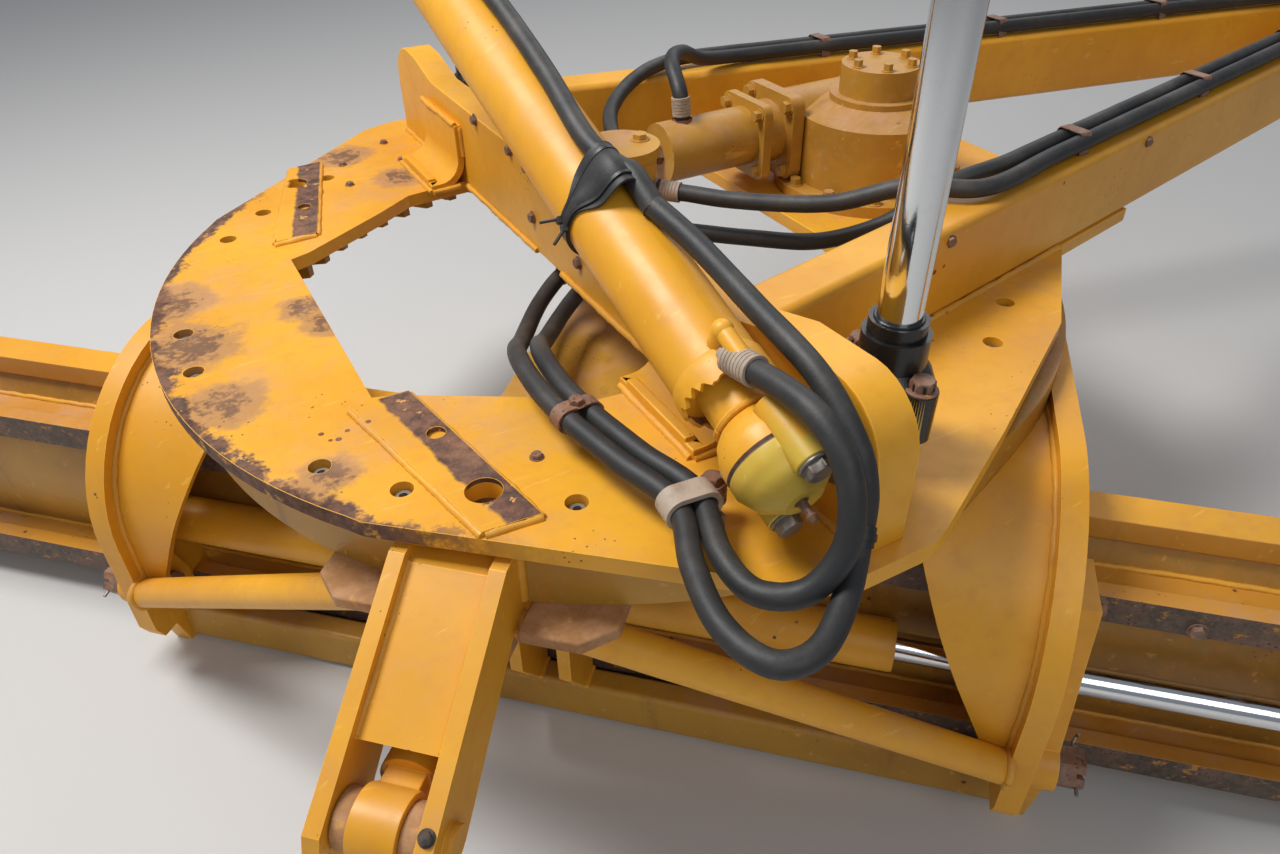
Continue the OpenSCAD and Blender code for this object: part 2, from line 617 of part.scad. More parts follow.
module carrier_beam() color(yellow) on_circle() side_plate(-carrier_in, carrier_in)
    polygon(round_rect(-512, -464, beam_z[0], beam_z[1], 10));

module centre_bracket() color(yellow) on_circle() {
    both_sides() side_plate(32, 54) difference() {
        union() {
            polygon([[-464, beam_z[1]], [-512, beam_z[1]], [-575, -520], [-575, -430],
                [-548, tip_pin_front[1]], [-472, tip_pin_front[1]], [-490, -355], [-425, -370],
                [-425, -540], [-464, -560]]);
            translate(tip_pin_front) circle(r = 38);
        }
        translate(side_shift) circle(r = shift_barrel_r + seat);
        translate([-425, -600]) square([100, 300]);
    }
    translate([tip_pin_front[0], 0, tip_pin_front[1]]) y_rod(18, -54, 54);
}

// A cylinder's barrel along +X: bored for its piston, with a gland that the rod runs in
module ram_barrel(r, rod, x0, x1, gland = 40) difference() {
    x_rod(r, x0, x1);
    x_rod(0.8 * r + fit, x0 + 0.5 * r, x1 - gland);
    x_rod(rod + fit, x1 - gland - 1, x1 + 1);
}
module ram_rod(r, rod, x0, x1, piston = 40) {
    x_rod(0.8 * r, x0, x0 + piston);
    x_rod(rod, x0 + piston - 1, x1);
}

barrel_left = carrier_in;
barrel_right = -560;
module side_shift_barrel() color(yellow) on_circle() translate([side_shift[0], barrel_left, side_shift[1]])
    rotate([0, 0, -90]) ram_barrel(shift_barrel_r, shift_rod_r, 0, barrel_left - barrel_right);

// Moldboard: a rolled plate with a stiffening bar along the top of its back
module blade_band(r0, r1, z0, z1, y0, y1) side_plate(y0, y1) intersection() {
    translate(blade_centre) difference() {
        circle(r = r1);
        circle(r = r0);
    }
    translate([blade_centre[0] - r1 - 5, z0]) square([r1, z1 - z0]);
}
blade_top = blade_centre[1] + blade_half_h;
blade_bottom = blade_centre[1] - blade_half_h;
module moldboard() color(yellow) on_circle() {
    blade_band(blade_curve_r, blade_back_r, blade_bottom, blade_top, -blade_len / 2, blade_len / 2);
    difference() {
        side_plate(-blade_len / 2, blade_len / 2) translate([-362, blade_top - 38]) square([45, 38]);
        translate([blade_centre[0], 0, blade_centre[1]]) y_rod(blade_back_r - 2, -blade_len, blade_len);
    }
}
module rail(z) difference() {
    side_plate(-rail_len / 2, rail_len / 2) {
        translate([rail_head_x[0], z - rail_head]) square([rail_head_x[1] - rail_head_x[0], 2 * rail_head]);
        translate([rail_head_x[1] - 1, z - 9]) square([90, 18]);
    }
    translate([blade_centre[0], 0, blade_centre[1]]) y_rod(blade_back_r, -blade_len, blade_len);
}
module upper_rail() color(worn) on_circle() rail(rail_z[0]);
module lower_rail() color(worn) on_circle() rail(rail_z[1]);
module cutting_edge() color(worn) on_circle() blade_band(blade_curve_r - edge_t, blade_curve_r,
    blade_bottom - 15, blade_bottom + 140, -blade_len / 2 + end_bit_len, blade_len / 2 - end_bit_len);
module end_bits() color(worn) on_circle() both_sides() blade_band(blade_curve_r - edge_t, blade_curve_r,
    blade_bottom - 15, blade_bottom + 230, blade_len / 2 - end_bit_len + 2, blade_len / 2);

piston_y = 50;
module side_shift_rod() color(chrome) on_circle()
    translate([side_shift[0], piston_y, side_shift[1]]) rotate([0, 0, -90])
        ram_rod(shift_barrel_r, shift_rod_r, 0, piston_y - anchor_y);
anchor_t = 30;
module side_shift_anchor() color(yellow) on_circle() difference() {
    union() {
        side_plate(anchor_y - anchor_t, anchor_y)
            polygon([[-500, -465], [-500, -375], [-470, -345], [-380, -345], [-380, -495], [-470, -495]]);
        translate([side_shift[0], 0, side_shift[1]]) y_rod(shift_rod_r + 9, anchor_y - 1, anchor_y + 14);
    }
    translate([side_shift[0], 0, side_shift[1]]) y_rod(shift_rod_r + fit, anchor_y, anchor_y + 15);
    translate([blade_centre[0], 0, blade_centre[1]]) y_rod(blade_back_r, -blade_len, blade_len);
}

// Tip cylinder from the ring's bracket forward to the carrier
tip_run = tip_pin_front - tip_pin_rear;
tip_len = norm(tip_run);
tip_eye_r = 44;
module tip_frame() on_circle() translate([tip_pin_rear[0], 0, tip_pin_rear[1]])
    rotate([0, -atan2(tip_run[1], tip_run[0]), 0]) children();
module tip_barrel() color(yellow) tip_frame() difference() {
    union() {
        y_rod(tip_eye_r, -30, 30);
        both_sides() y_rod(36, 30.5, tip_gap - 2);
        across(20, 65) square([50, 50], center = true);
        ram_barrel(tip_barrel_r, tip_rod_r, 60, 352);
    }
    y_rod(22 + fit, -tip_gap, tip_gap);
}
module tip_rod() color(chrome) tip_frame() {
    ram_rod(tip_barrel_r, tip_rod_r, 106, tip_len - 36);
    translate([tip_len, 0, 0]) difference() {
        y_rod(tip_eye_r - 2, -29, 29);
        y_rod(30, -30, 30);
    }
}

// Ball housing around the origin: the cap and the body are drawn together by two bolts in their lobes,
// with the cylinder towards +X, the lobes on both sides and the stud's way out upward
housing_r = 60;
lobe_r = 21;
lobe_y = 56;
cap_end = 58;
lobe_low = -28;
lobe_high = 38;
module ball_housing(bolt_side) difference() {
    union() {
        rotate([0, 90, 0]) rotate_extrude() polygon([[0, -cap_end], [24, -cap_end], [48, -40],
            [housing_r, -15], [housing_r, -3], [housing_r - 3, 0], [housing_r, 3], [housing_r, 18],
            [50, 42], [40, 52], [0, 52]]);
        for (s = [-1, 1]) translate([0, s * lobe_y, 0]) {
            x_rod(lobe_r, lobe_low, lobe_high);
            translate([bolt_side > 0 ? lobe_high - 1 : lobe_low + 1, 0, 0])
                rotate([0, 90 * bolt_side, 0]) bolt(15, 11);
        }
    }
    sphere(r = stud_ball_r + fit);
    cylinder(h = housing_r + 30, r = 30);
}

// Lift cylinder: a housing around the ball, the chrome rod and the barrel with its trunnions
module lift_frame() at_circle() translate(lift_ball) rotate([-lift_lean, 0, 0]) rotate([0, -90, 0])
    children();
lift_barrel_low = 750;
lift_rod_top = 1400;
module lift_rod() {
    ball_housing(1);
    x_rod(42, 51, 92);
    x_rod(36, 91, 110);
    x_rod(lift_rod_r, 109, lift_rod_top + 1);
    x_rod(0.8 * lift_barrel_r, lift_rod_top, lift_rod_top + 41);
}
module lift_barrel() {
    difference() {
        x_rod(lift_barrel_r, lift_barrel_low, lift_barrel_low + lift_barrel_len);
        x_rod(0.8 * lift_barrel_r + fit, lift_barrel_low + 60, lift_barrel_low + lift_barrel_len - 30);
        x_rod(lift_rod_r + fit, lift_barrel_low - 1, lift_barrel_low + 61);
    }
}
shoulder_out = lift_barrel_r + 26;
trunnion_out = lift_barrel_r + 70;
module lift_trunnion() difference() {
    union() {
        x_rod(lift_barrel_r + 20, lift_barrel_low + 60, lift_barrel_low + 150);
        translate([lift_barrel_low + 105, 0, 0]) rotate([90, 0, 0]) {
            y_rod(trunnion_r + 9, -shoulder_out, shoulder_out);
            y_rod(trunnion_r, -trunnion_out, trunnion_out);
        }
    }
    x_rod(lift_barrel_r - 1, lift_barrel_low, lift_barrel_low + 200);
}
module lift_barrel_left() color(yellow) lift_frame() {
    lift_barrel();
    lift_trunnion();
}
module lift_barrel_right() color(yellow) mirror([0, 1, 0]) lift_frame() {
    lift_barrel();
    lift_trunnion();
}
module lift_rod_left() color(chrome) lift_frame() lift_rod();
module lift_rod_right() color(chrome) mirror([0, 1, 0]) lift_frame() lift_rod();

// Centre-shift cylinder: its ball housing is on the right ear, its rod's eye is up on the left
centre_low = 110;
centre_high = 1180;
centre_eye = 1420;
module centre_frame() at_circle() translate(centre_ball) rotate([centre_rise, 0, 0])
    rotate([0, 0, 90]) children();
port_x = 132;
port_y = 9;
port_z = 76;
module centre_shift_barrel() color(yellow) centre_frame() {
    union() {
        rotate([90, 0, 0]) ball_housing(-1);
        x_rod(38, 51, centre_low + 5);
        ram_barrel(centre_barrel_r, centre_rod_r, centre_low, centre_high);
        translate([port_x, port_y, centre_barrel_r - 5]) cylinder(h = port_z - centre_barrel_r + 5, r = 13);
        translate([port_x, port_y, port_z]) sphere(r = 13, $fn = 24);
        translate([0, port_y, port_z]) x_rod(11, 84, port_x);
    }
}
module centre_shift_rod() color(chrome) centre_frame() {
    ram_rod(centre_barrel_r, centre_rod_r, 700, centre_eye - 40);
    translate([centre_eye, 0, 0]) difference() {
        y_rod(48, -32, 32);
        y_rod(25, -33, 33);
    }
}

drawbar_plate();
gearbox_shelf();
beam_left();
beam_right();
nose_block();
draft_ball();
lift_yoke();
yoke_gussets();
wear_pads();
circle_shoes();
lift_studs();
centre_shift_stud();
gearbox();
drive_motor();
swivel();
hose_clamps();
circle_ring();
arm_left();
arm_right();
brace_tubes();
tube_pads();
tip_bracket();
hose_arm();
pivot_pins();
drive_pinion();
carrier_end_left();
carrier_end_right();
carrier_beam();
centre_bracket();
side_shift_barrel();
moldboard();
upper_rail();
lower_rail();
cutting_edge();
end_bits();
side_shift_rod();
tip_barrel();
tip_rod();
lift_rod_left();
lift_rod_right();
lift_barrel_left();
lift_barrel_right();
centre_shift_barrel();
centre_shift_rod();
coupling_plate();
loop_hoses();
beam_hoses_right();
beam_hoses_left();
side_shift_anchor();
barrel_hose();
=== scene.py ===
# The drawbar, circle and moldboard of a motor grader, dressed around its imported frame.
import json
import math

import bmesh
import bpy
import numpy as np
from mathutils import Matrix, Vector


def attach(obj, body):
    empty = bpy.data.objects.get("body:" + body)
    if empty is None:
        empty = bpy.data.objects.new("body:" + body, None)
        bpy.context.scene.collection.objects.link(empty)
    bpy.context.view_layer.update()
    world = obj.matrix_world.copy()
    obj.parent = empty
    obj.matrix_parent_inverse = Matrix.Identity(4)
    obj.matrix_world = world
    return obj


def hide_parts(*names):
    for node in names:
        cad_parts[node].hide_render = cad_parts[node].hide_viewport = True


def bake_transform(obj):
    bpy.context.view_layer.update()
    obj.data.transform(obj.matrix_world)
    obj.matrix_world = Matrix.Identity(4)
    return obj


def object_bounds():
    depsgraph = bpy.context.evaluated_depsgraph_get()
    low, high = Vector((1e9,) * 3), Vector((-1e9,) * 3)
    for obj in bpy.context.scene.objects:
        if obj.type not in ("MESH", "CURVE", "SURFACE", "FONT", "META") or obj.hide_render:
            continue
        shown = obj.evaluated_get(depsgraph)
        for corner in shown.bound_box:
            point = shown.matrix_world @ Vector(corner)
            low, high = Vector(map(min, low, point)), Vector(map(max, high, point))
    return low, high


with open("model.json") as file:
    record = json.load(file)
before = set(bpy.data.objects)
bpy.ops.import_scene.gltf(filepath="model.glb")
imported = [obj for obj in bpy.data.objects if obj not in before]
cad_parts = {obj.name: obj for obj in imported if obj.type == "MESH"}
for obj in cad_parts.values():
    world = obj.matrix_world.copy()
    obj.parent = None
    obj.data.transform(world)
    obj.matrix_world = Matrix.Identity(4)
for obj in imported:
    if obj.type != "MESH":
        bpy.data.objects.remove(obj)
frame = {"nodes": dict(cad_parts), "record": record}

cad_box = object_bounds()

# The photographer's eye: standing at the machine's right rear, the camera looks down and forward
# over the plate. Places are in metres from the circle's centre on the plate's top.
CIRCLE = np.array([-2.45, 0.0, -0.075])
EYE = CIRCLE + [-0.7344, -1.4031, 0.7640]
LOOK_DOWN, HEADING, ROLL = np.radians([36.73, 61.49, 1.12])
FOCAL_PX, WIDE_PX = 947.56, 1280
forward = Vector((math.cos(HEADING) * math.cos(LOOK_DOWN), math.sin(HEADING) * math.cos(LOOK_DOWN),
                  -math.sin(LOOK_DOWN)))
level = Vector((math.sin(HEADING), -math.cos(HEADING), 0.0))
down = forward.cross(level)
right = math.cos(ROLL) * level + math.sin(ROLL) * down
below = -math.sin(ROLL) * level + math.cos(ROLL) * down
camera = bpy.data.objects.new("camera", bpy.data.cameras.new("camera"))
bpy.context.scene.collection.objects.link(camera)
camera.data.sensor_width = 36
camera.data.lens = 36 * FOCAL_PX / WIDE_PX
camera.data.clip_start = 0.05
camera.matrix_world = Matrix.Translation(EYE) @ Matrix((right, -below, -forward)).transposed().to_4x4()
bpy.context.scene.camera = camera
bpy.context.scene.view_settings.view_transform = "Standard"

# The rest pose: what turns with the circle is swung, and each cylinder has its own slant.
SWING = math.radians(46.35)
LIFT_LEAN = math.radians(1.4)
CENTRE_RISE = math.radians(19.1)
BODY_OF = {node: body for body, nodes in frame["record"]["behaviour"]["bodies"].items() for node in nodes}


def on_plate(points):
    """Places in millimetres from the circle's centre on the plate's top, in the row's metres."""
    return CIRCLE + np.asarray(points, float) / 1000


def on_circle(points):
    """Places in millimetres from the circle's centre, drawn facing forward, turned with the circle."""
    p = np.atleast_2d(np.asarray(points, float)) / 1000
    ahead = np.array([math.cos(SWING), math.sin(SWING), 0])
    aside = np.array([-math.sin(SWING), math.cos(SWING), 0])
    placed = CIRCLE + p[:, :1] * ahead + p[:, 1:2] * aside + p[:, 2:] * [0, 0, 1]
    return placed[0] if np.ndim(points) == 1 else placed


# Sums on shader sockets: a material's masks are written as formulas with this class.
class Field:
    """A socket of a node tree, which takes part in sums and feeds further nodes."""

    def __init__(self, tree, socket):
        self.tree, self.socket = tree, socket

    def node(self, kind, settings=(), inputs=(), output=0):
        """A node of that kind: settings first, then inputs by name or number; gives one of its outputs."""
        made = self.tree.nodes.new("ShaderNode" + kind)
        for name, value in dict(settings).items():
            setattr(made, name, value)
        for name, value in dict(inputs).items():
            feed(made.inputs[name], value)
        return Field(self.tree, made.outputs[output])

    def sum_of(self, operation, a, b=0.0, c=0.0):
        return self.node("Math", {"operation": operation}, {0: a, 1: b, 2: c})

    def __add__(self, other):
        return self.sum_of("ADD", self, other)

    __radd__ = __add__

    def __mul__(self, other):
        return self.sum_of("MULTIPLY", self, other)

    __rmul__ = __mul__

    def __sub__(self, other):
        return self.sum_of("SUBTRACT", self, other)

    def __rsub__(self, other):
        return self.sum_of("SUBTRACT", other, self)

    def __truediv__(self, other):
        return self.sum_of("DIVIDE", self, other)

    def least(self, other):
        return self.sum_of("MINIMUM", self, other)

    def most(self, other):
        return self.sum_of("MAXIMUM", self, other)

    def rise(self, start, end):
        """0 below start and 1 above end, with a smooth rise between; start may be the larger."""
        return self.node("MapRange", {"interpolation_type": "SMOOTHSTEP"},
                         {"Value": self, "From Min": start, "From Max": end})

    def blend(self, a, b):
        """The colour a where this is 0 and b where it is 1."""
        mixed = self.node("Mix", {"data_type": "RGBA"}, {0: self, 6: a, 7: b}, output=2)
        return mixed

    def noise(self, scale, detail=3.0, rough=0.55, stretch=None):
        """Cloudy noise over this place, from 0 to 1, with scale features a metre."""
        place = self if stretch is None else self.node("VectorMath", {"operation": "MULTIPLY"},
                                                      {0: self, 1: stretch})
        return place.node("TexNoise", (), {"Vector": place, "Scale": scale, "Detail": detail,
                                           "Roughness": rough})

    def cells(self, scale, feature="F1"):
        """The distance to the nearest of scattered points, in cells, with scale cells a metre."""
        return self.node("TexVoronoi", {"feature": feature}, {"Vector": self, "Scale": scale})

    def near(self, centre, reach):
        """1 at the centre and 0 from reach on, both in metres."""
        apart = self.node("VectorMath", {"operation": "DISTANCE"}, {0: self, 1: tuple(centre)}, output=1)
        return apart.rise(reach, 0.0)

    def axis(self, name):
        """This place's part along X, Y or Z."""
        return self.node("SeparateXYZ", (), {0: self}, output="XYZ".index(name))


def feed(socket, value):
    """Links a field to a socket, or sets a constant on it."""
    if isinstance(value, Field):
        value.tree.links.new(value.socket, socket)
    elif isinstance(value, (tuple, list)) and len(value) == 3 and socket.type == "RGBA":
        socket.default_value = (*value, 1.0)
    else:
        socket.default_value = value


def material(name):
    """An empty material with its principled shader, the place of the shaded point and its upward lean."""
    made = bpy.data.materials.new(name)
    made.use_nodes = True
    tree = made.node_tree
    shader = tree.nodes["Principled BSDF"]
    place = Field(tree, tree.nodes.new("ShaderNodeTexCoord").outputs["Object"])
    upward = Field(tree, tree.nodes.new("ShaderNodeNewGeometry").outputs["Normal"]).axis("Z")
    return made, shader, place, upward


def finish_of(shader, colour, roughness, metallic=0.0, height=None, depth=0.001):
    """Feeds a shader its colour, roughness and metal, and a height in metres as bump."""
    feed(shader.inputs["Base Color"], colour)
    feed(shader.inputs["Roughness"], roughness)
    feed(shader.inputs["Metallic"], metallic)
    if height is not None:
        bump = height.node("Bump", (), {"Height": height, "Distance": depth, "Strength": 1.0})
        feed(shader.inputs["Normal"], bump)


# Yellow paint: satin, sun-lit orange yellow. Noise gives its tone, scratches and chips down to primer
# and rust; dust lies on what faces up, and named places carry the worn patches of the photographed one.
RUST = (0.16, 0.055, 0.022)
DUST = (0.50, 0.27, 0.15)
PALE_DUST = (0.60, 0.40, 0.27)


def paint(name, bright=(0.80, 0.385, 0.022), deep=(0.68, 0.30, 0.013), chips=0.5, dust=0.3,
          patches=(), streaks=0.0, strips=(), rim=0.0):
    """Painted steel. chips and dust go from 0 to 1; patches are (place, reach) of worn, rusty spots,
    strips are lines in the plan, (start, end, width), with rust beside them, and rim is the radius of a worn
    edge around the circle's centre."""
    made, shader, place, upward = material(name)
    tone = place.noise(2.3, 4.0)
    colour = tone.rise(0.35, 0.68).blend(bright, deep)
    mottle = place.noise(38.0, 5.0)
    colour = (mottle.rise(0.45, 0.75) * 0.3).blend(colour, (0.62, 0.25, 0.02))
    scrape = place.noise(9.0, 3.0, 0.5, (1.0, 9.0, 5.0)).rise(0.66, 0.72)
    colour = (scrape * 0.28).blend(colour, (0.9, 0.55, 0.12))
    worn = place.near((0, 0, 0), 0.001) * 0.0
    for centre, reach in patches:
        worn = worn.most(place.near(centre, reach))
    patch = ((worn + place.noise(19.0, 6.0, 0.65) - 0.5).rise(0.42, 0.72)) * worn.rise(0.02, 0.3)
    colour = (patch * 0.75).blend(colour, (0.36, 0.18, 0.075))
    stain = (worn * place.noise(60.0, 5.0, 0.7)).rise(0.36, 0.5)
    colour = (stain * 0.85).blend(colour, (0.12, 0.055, 0.03))
    bands = place.near((0, 0, 0), 0.001) * 0.0
    for first, last, width in strips:
        run = np.subtract(last, first)[:2] / np.linalg.norm(np.subtract(last, first)[:2])
        aside = ((place.axis("Y") - float(first[1])) * float(run[0])
                 - (place.axis("X") - float(first[0])) * float(run[1]))
        beside = (aside + place.noise(30.0, 5.0) * 0.02 - 0.01)
        bands = bands.most(beside.most(0.0 - beside).rise(width + 0.003, width - 0.003))
    if rim:
        out = place.node("VectorMath", {"operation": "SUBTRACT"}, {0: place, 1: tuple(CIRCLE)})
        flat = out.node("VectorMath", {"operation": "MULTIPLY"}, {0: out, 1: (1.0, 1.0, 0.0)})
        far = flat.node("VectorMath", {"operation": "LENGTH"}, {0: flat}, output=1)
        edge_wear = (far + place.noise(17.0, 6.0, 0.7) * 0.11).rise(rim + 0.032, rim + 0.046)
        bands = bands.most(edge_wear * place.axis("X").rise(CIRCLE[0] - 0.42, CIRCLE[0] - 0.62))
    old = place.noise(48.0, 6.0, 0.7).rise(0.3, 0.7).blend((0.055, 0.028, 0.020), (0.20, 0.085, 0.045))
    colour = bands.blend(colour, place.noise(33.0, 5.0, 0.7).rise(0.62, 0.66).blend(old, (0.62, 0.30, 0.08)))
    spots = place.cells(95.0).rise(0.17, 0.1) * place.noise(7.0, 2.0).rise(0.60 - 0.1 * chips, 0.72)
    flakes = place.cells(32.0).rise(0.16, 0.12) * place.noise(5.3, 3.0).rise(0.66 - 0.1 * chips, 0.74)
    bare = (spots.most(flakes) * chips).rise(0.2, 0.45)
    colour = bare.blend(colour, RUST)
    run = place.noise(14.0, 4.0, 0.6, (1.0, 1.0, 0.12)).rise(0.58, 0.75) * streaks
    colour = run.blend(colour, (0.22, 0.10, 0.035))
    lying = upward.rise(0.15, 0.9) * place.noise(6.0, 6.0, 0.7).rise(0.44, 0.74) * dust
    colour = lying.blend(colour, DUST)
    film = place.noise(55.0, 3.0).rise(0.5, 0.9) * 0.25 * dust
    colour = film.blend(colour, PALE_DUST)
    rough = 0.36 + mottle * 0.14 + lying * 0.35 + bare * 0.3 + patch * 0.25 + bands * 0.3
    height = (place.noise(420.0, 2.0) * 0.12 + mottle * 0.35 - bare * 0.9 - scrape * 0.15
              - patch * 0.3 - bands * 0.8)
    finish_of(shader, colour, rough, 0.0, height, 0.00045)
    return made


def cut_edge(name):
    """The flame-cut or rounded edge of a painted plate: fine lines across it, chipped more than the face;
    its lighter yellow and pale flecks are painted highlight.
    """
    made, shader, place, upward = material(name)
    lines = place.noise(3.0, 2.0, 0.5, (90.0, 90.0, 90.0))
    tone = place.noise(3.1, 4.0)
    # A lighter yellow than the face: painted highlight along the edge.
    colour = tone.rise(0.35, 0.68).blend((0.93, 0.47, 0.035), (0.78, 0.34, 0.018))
    chip = place.cells(70.0).rise(0.2, 0.12) * place.noise(11.0, 3.0).rise(0.5, 0.62)
    colour = chip.blend(colour, (0.13, 0.05, 0.025))
    # Pale yellow flecks: painted highlight.
    pale = place.noise(34.0, 4.0).rise(0.56, 0.72) * 0.35
    colour = pale.blend(colour, (0.95, 0.62, 0.2))
    finish_of(shader, colour, 0.4 + chip * 0.3 + lines * 0.1, 0.0, lines * 0.6 - chip, 0.0007)
    return made


# Bare and worn steel: rails and shoes rubbed dark, a cutting edge ground by soil, greasy pins and studs,
# rusty bolts. Noise sets where rust, old paint and shine lie.
def rubbed_steel(name, base=(0.10, 0.075, 0.055), paint_left=0.35, rust=0.5, shine=0.5):
    """Steel that slides or scrapes: dark rubbed metal with rust bands and remains of yellow paint."""
    made, shader, place, upward = material(name)
    cloud = place.noise(11.0, 6.0, 0.65)
    fine = place.noise(85.0, 5.0, 0.7)
    colour = fine.rise(0.3, 0.7).blend(base, tuple(2.1 * c for c in base))
    colour = (cloud.rise(0.42, 0.62) * rust).blend(colour, (0.21, 0.09, 0.045))
    left = place.noise(31.0, 8.0, 0.78, (1.0, 1.0, 1.6)) + 0.3 * fine
    left = left.rise(0.78 - 0.3 * paint_left, 0.84 - 0.3 * paint_left)
    colour = left.blend(colour, (0.50, 0.215, 0.035))
    pits = place.cells(120.0).rise(0.3, 0.12) * cloud.rise(0.4, 0.6)
    colour = (pits * 0.8).blend(colour, (0.035, 0.022, 0.016))
    lying = upward.rise(0.3, 0.95) * place.noise(16.0, 4.0).rise(0.45, 0.7) * 0.45
    colour = lying.blend(colour, DUST)
    metal = (1.0 - cloud.rise(0.4, 0.62)) * (1.0 - left) * shine
    finish_of(shader, colour, 0.42 + 0.3 * fine + pits * 0.2, metal, fine * 0.5 - pits + left * 0.4, 0.0008)
    return made


def plain_metal(name, base, roughness, metallic=1.0, grime=0.3, grain=220.0):
    """Machined or plated steel with faint turning marks and a film of grime."""
    made, shader, place, upward = material(name)
    cloud = place.noise(24.0, 5.0, 0.65)
    marks = place.noise(grain, 2.0)
    dirty = cloud.rise(0.52, 0.72) * grime
    colour = dirty.blend(tuple(base), (0.10, 0.065, 0.045))
    rough = roughness + dirty * 0.4 + marks * 0.06
    finish_of(shader, colour, rough, metallic * (1.0 - dirty), marks, 0.00004)
    return made


def soft_black(name, base=(0.020, 0.020, 0.020), roughness=0.45, dust=0.4, pale=(0.20, 0.17, 0.14)):
    """Rubber or plastic: near black, greyed by dust on top, with a faint wrinkled skin."""
    made, shader, place, upward = material(name)
    skin = place.noise(300.0, 3.0)
    scuff = place.noise(28.0, 5.0, 0.7)
    colour = scuff.rise(0.5, 0.85).blend(base, tuple(1.8 * c for c in base))
    lying = (upward.rise(-0.3, 1.0) * 0.6 + 0.2) * place.noise(6.0, 5.0, 0.7).rise(0.4, 0.8) * dust
    colour = lying.blend(colour, pale)
    finish_of(shader, colour, roughness + 0.2 * scuff, 0.0, skin + scuff * 0.6, 0.0003)
    return made


def dusty(name, base=(0.46, 0.25, 0.12), dark=(0.32, 0.15, 0.05), roughness=0.8):
    """Primer and caked laterite dust with darker damp spots."""
    made, shader, place, upward = material(name)
    cloud = place.noise(16.0, 6.0, 0.7)
    colour = cloud.rise(0.4, 0.66).blend(base, dark)
    grain = place.noise(180.0, 4.0)
    colour = (place.noise(41.0, 4.0).rise(0.6, 0.75) * 0.6).blend(colour, (0.72, 0.36, 0.06))
    finish_of(shader, colour, roughness, 0.0, grain + cloud, 0.0007)
    return made

# Shapes are pairs of corners and faces, made as nets of points and joined into pieces.
def net(points, round_u=False, round_v=False):
    """Quads over a net of points: rows along u, columns along v, each closed or open."""
    points = np.asarray(points, float)
    rows, columns = points.shape[:2]
    number = np.arange(rows * columns).reshape(rows, columns)
    if round_u:
        number = np.vstack([number, number[:1]])
    if round_v:
        number = np.hstack([number, number[:, :1]])
    quads = np.stack([number[:-1, :-1], number[1:, :-1], number[1:, 1:], number[:-1, 1:]], -1)
    return points.reshape(-1, 3), quads.reshape(-1, 4)


def joined(shapes):
    """Many shapes as one."""
    shift = np.cumsum([0] + [len(corners) for corners, _ in shapes[:-1]])
    return (np.vstack([corners for corners, _ in shapes]),
            np.vstack([faces + start for (_, faces), start in zip(shapes, shift)]))


def axes(along, up=(0, 0, 1)):
    """Three directions at right angles, as rows: the given one first, the last near up."""
    a = np.asarray(along, float) / np.linalg.norm(along)
    side = np.cross(np.asarray(up, float), a)
    if np.linalg.norm(side) < 1e-6:
        side = np.cross((0.0, 1.0, 0.0), a)
    side /= np.linalg.norm(side)
    return np.array([a, side, np.cross(a, side)])


def lathe(profile, origin, along, sides=40):
    """A profile of (distance, radius) in metres, turned round the line from origin."""
    profile = np.asarray(profile, float)
    a, b, c = axes(along)
    t = np.linspace(0, 2 * np.pi, sides, endpoint=False)
    ring = np.cos(t)[:, None] * b + np.sin(t)[:, None] * c
    points = np.asarray(origin) + profile[:, :1, None] * a + profile[:, 1:, None] * ring
    return net(points, round_v=True)


def hexagon(origin, along, across, height, turn=0.0, sides=6, hollow=0.0):
    """A bolt's head: across its corners, chamfered on top, on the plane at origin."""
    a, b, c = axes(along)
    t = np.linspace(0, 2 * np.pi, 8 * sides, endpoint=False)
    wedge = 2 * np.pi / sides
    flat = np.cos(wedge / 2) / np.cos(t % wedge - wedge / 2)
    t = t + turn
    ring = np.cos(t)[:, None] * b + np.sin(t)[:, None] * c
    top = np.minimum(flat, 0.97 * np.cos(wedge / 2))
    rows = [(0, flat), (0.84 * height, flat), (height, top)]
    rows += [(height, hollow + 0 * flat), (0.3 * height, hollow + 0 * flat)] if hollow else []
    rows += [(rows[-1][0], 0 * flat)]
    points = np.array([np.asarray(origin) + h * a + (across * r)[:, None] * ring for h, r in rows])
    return net(points, round_v=True)


def washer(origin, along, outer, thick, inner=0.0):
    """A flat ring with a slightly rounded rim."""
    soft = min(thick * 0.3, 0.0012)
    rim = [(0, inner), (0, outer - soft), (soft, outer), (thick - soft, outer), (thick, outer - soft),
           (thick, inner)]
    return lathe(rim, origin, along, 36)


def bolt(origin, along, across, height=None, turn=0.3):
    """A hexagon bolt on its washer."""
    thick = 0.16 * across
    raised = np.asarray(origin) + thick * axes(along)[0]
    return [washer(origin, along, 1.32 * across, thick),
            hexagon(raised, along, across, height or 0.72 * across, turn)]


def smooth_route(points, step=0.008):
    """The hoses' route: each stretch between two points is a cubic that passes through them."""
    p = np.asarray(points, float)
    p = np.vstack([p[:1], p, p[-1:]])
    made = []
    for a, b, c, d in zip(p[:-3], p[1:-2], p[2:-1], p[3:]):
        t = np.linspace(0, 1, max(3, int(np.linalg.norm(c - b) / step)), endpoint=False)[:, None]
        made.append(0.5 * (2 * b + (c - a) * t + (2 * a - 5 * b + 4 * c - d) * t**2
                           + (3 * b - a - 3 * c + d) * t**3))
    return np.vstack(made + [p[-1:]])


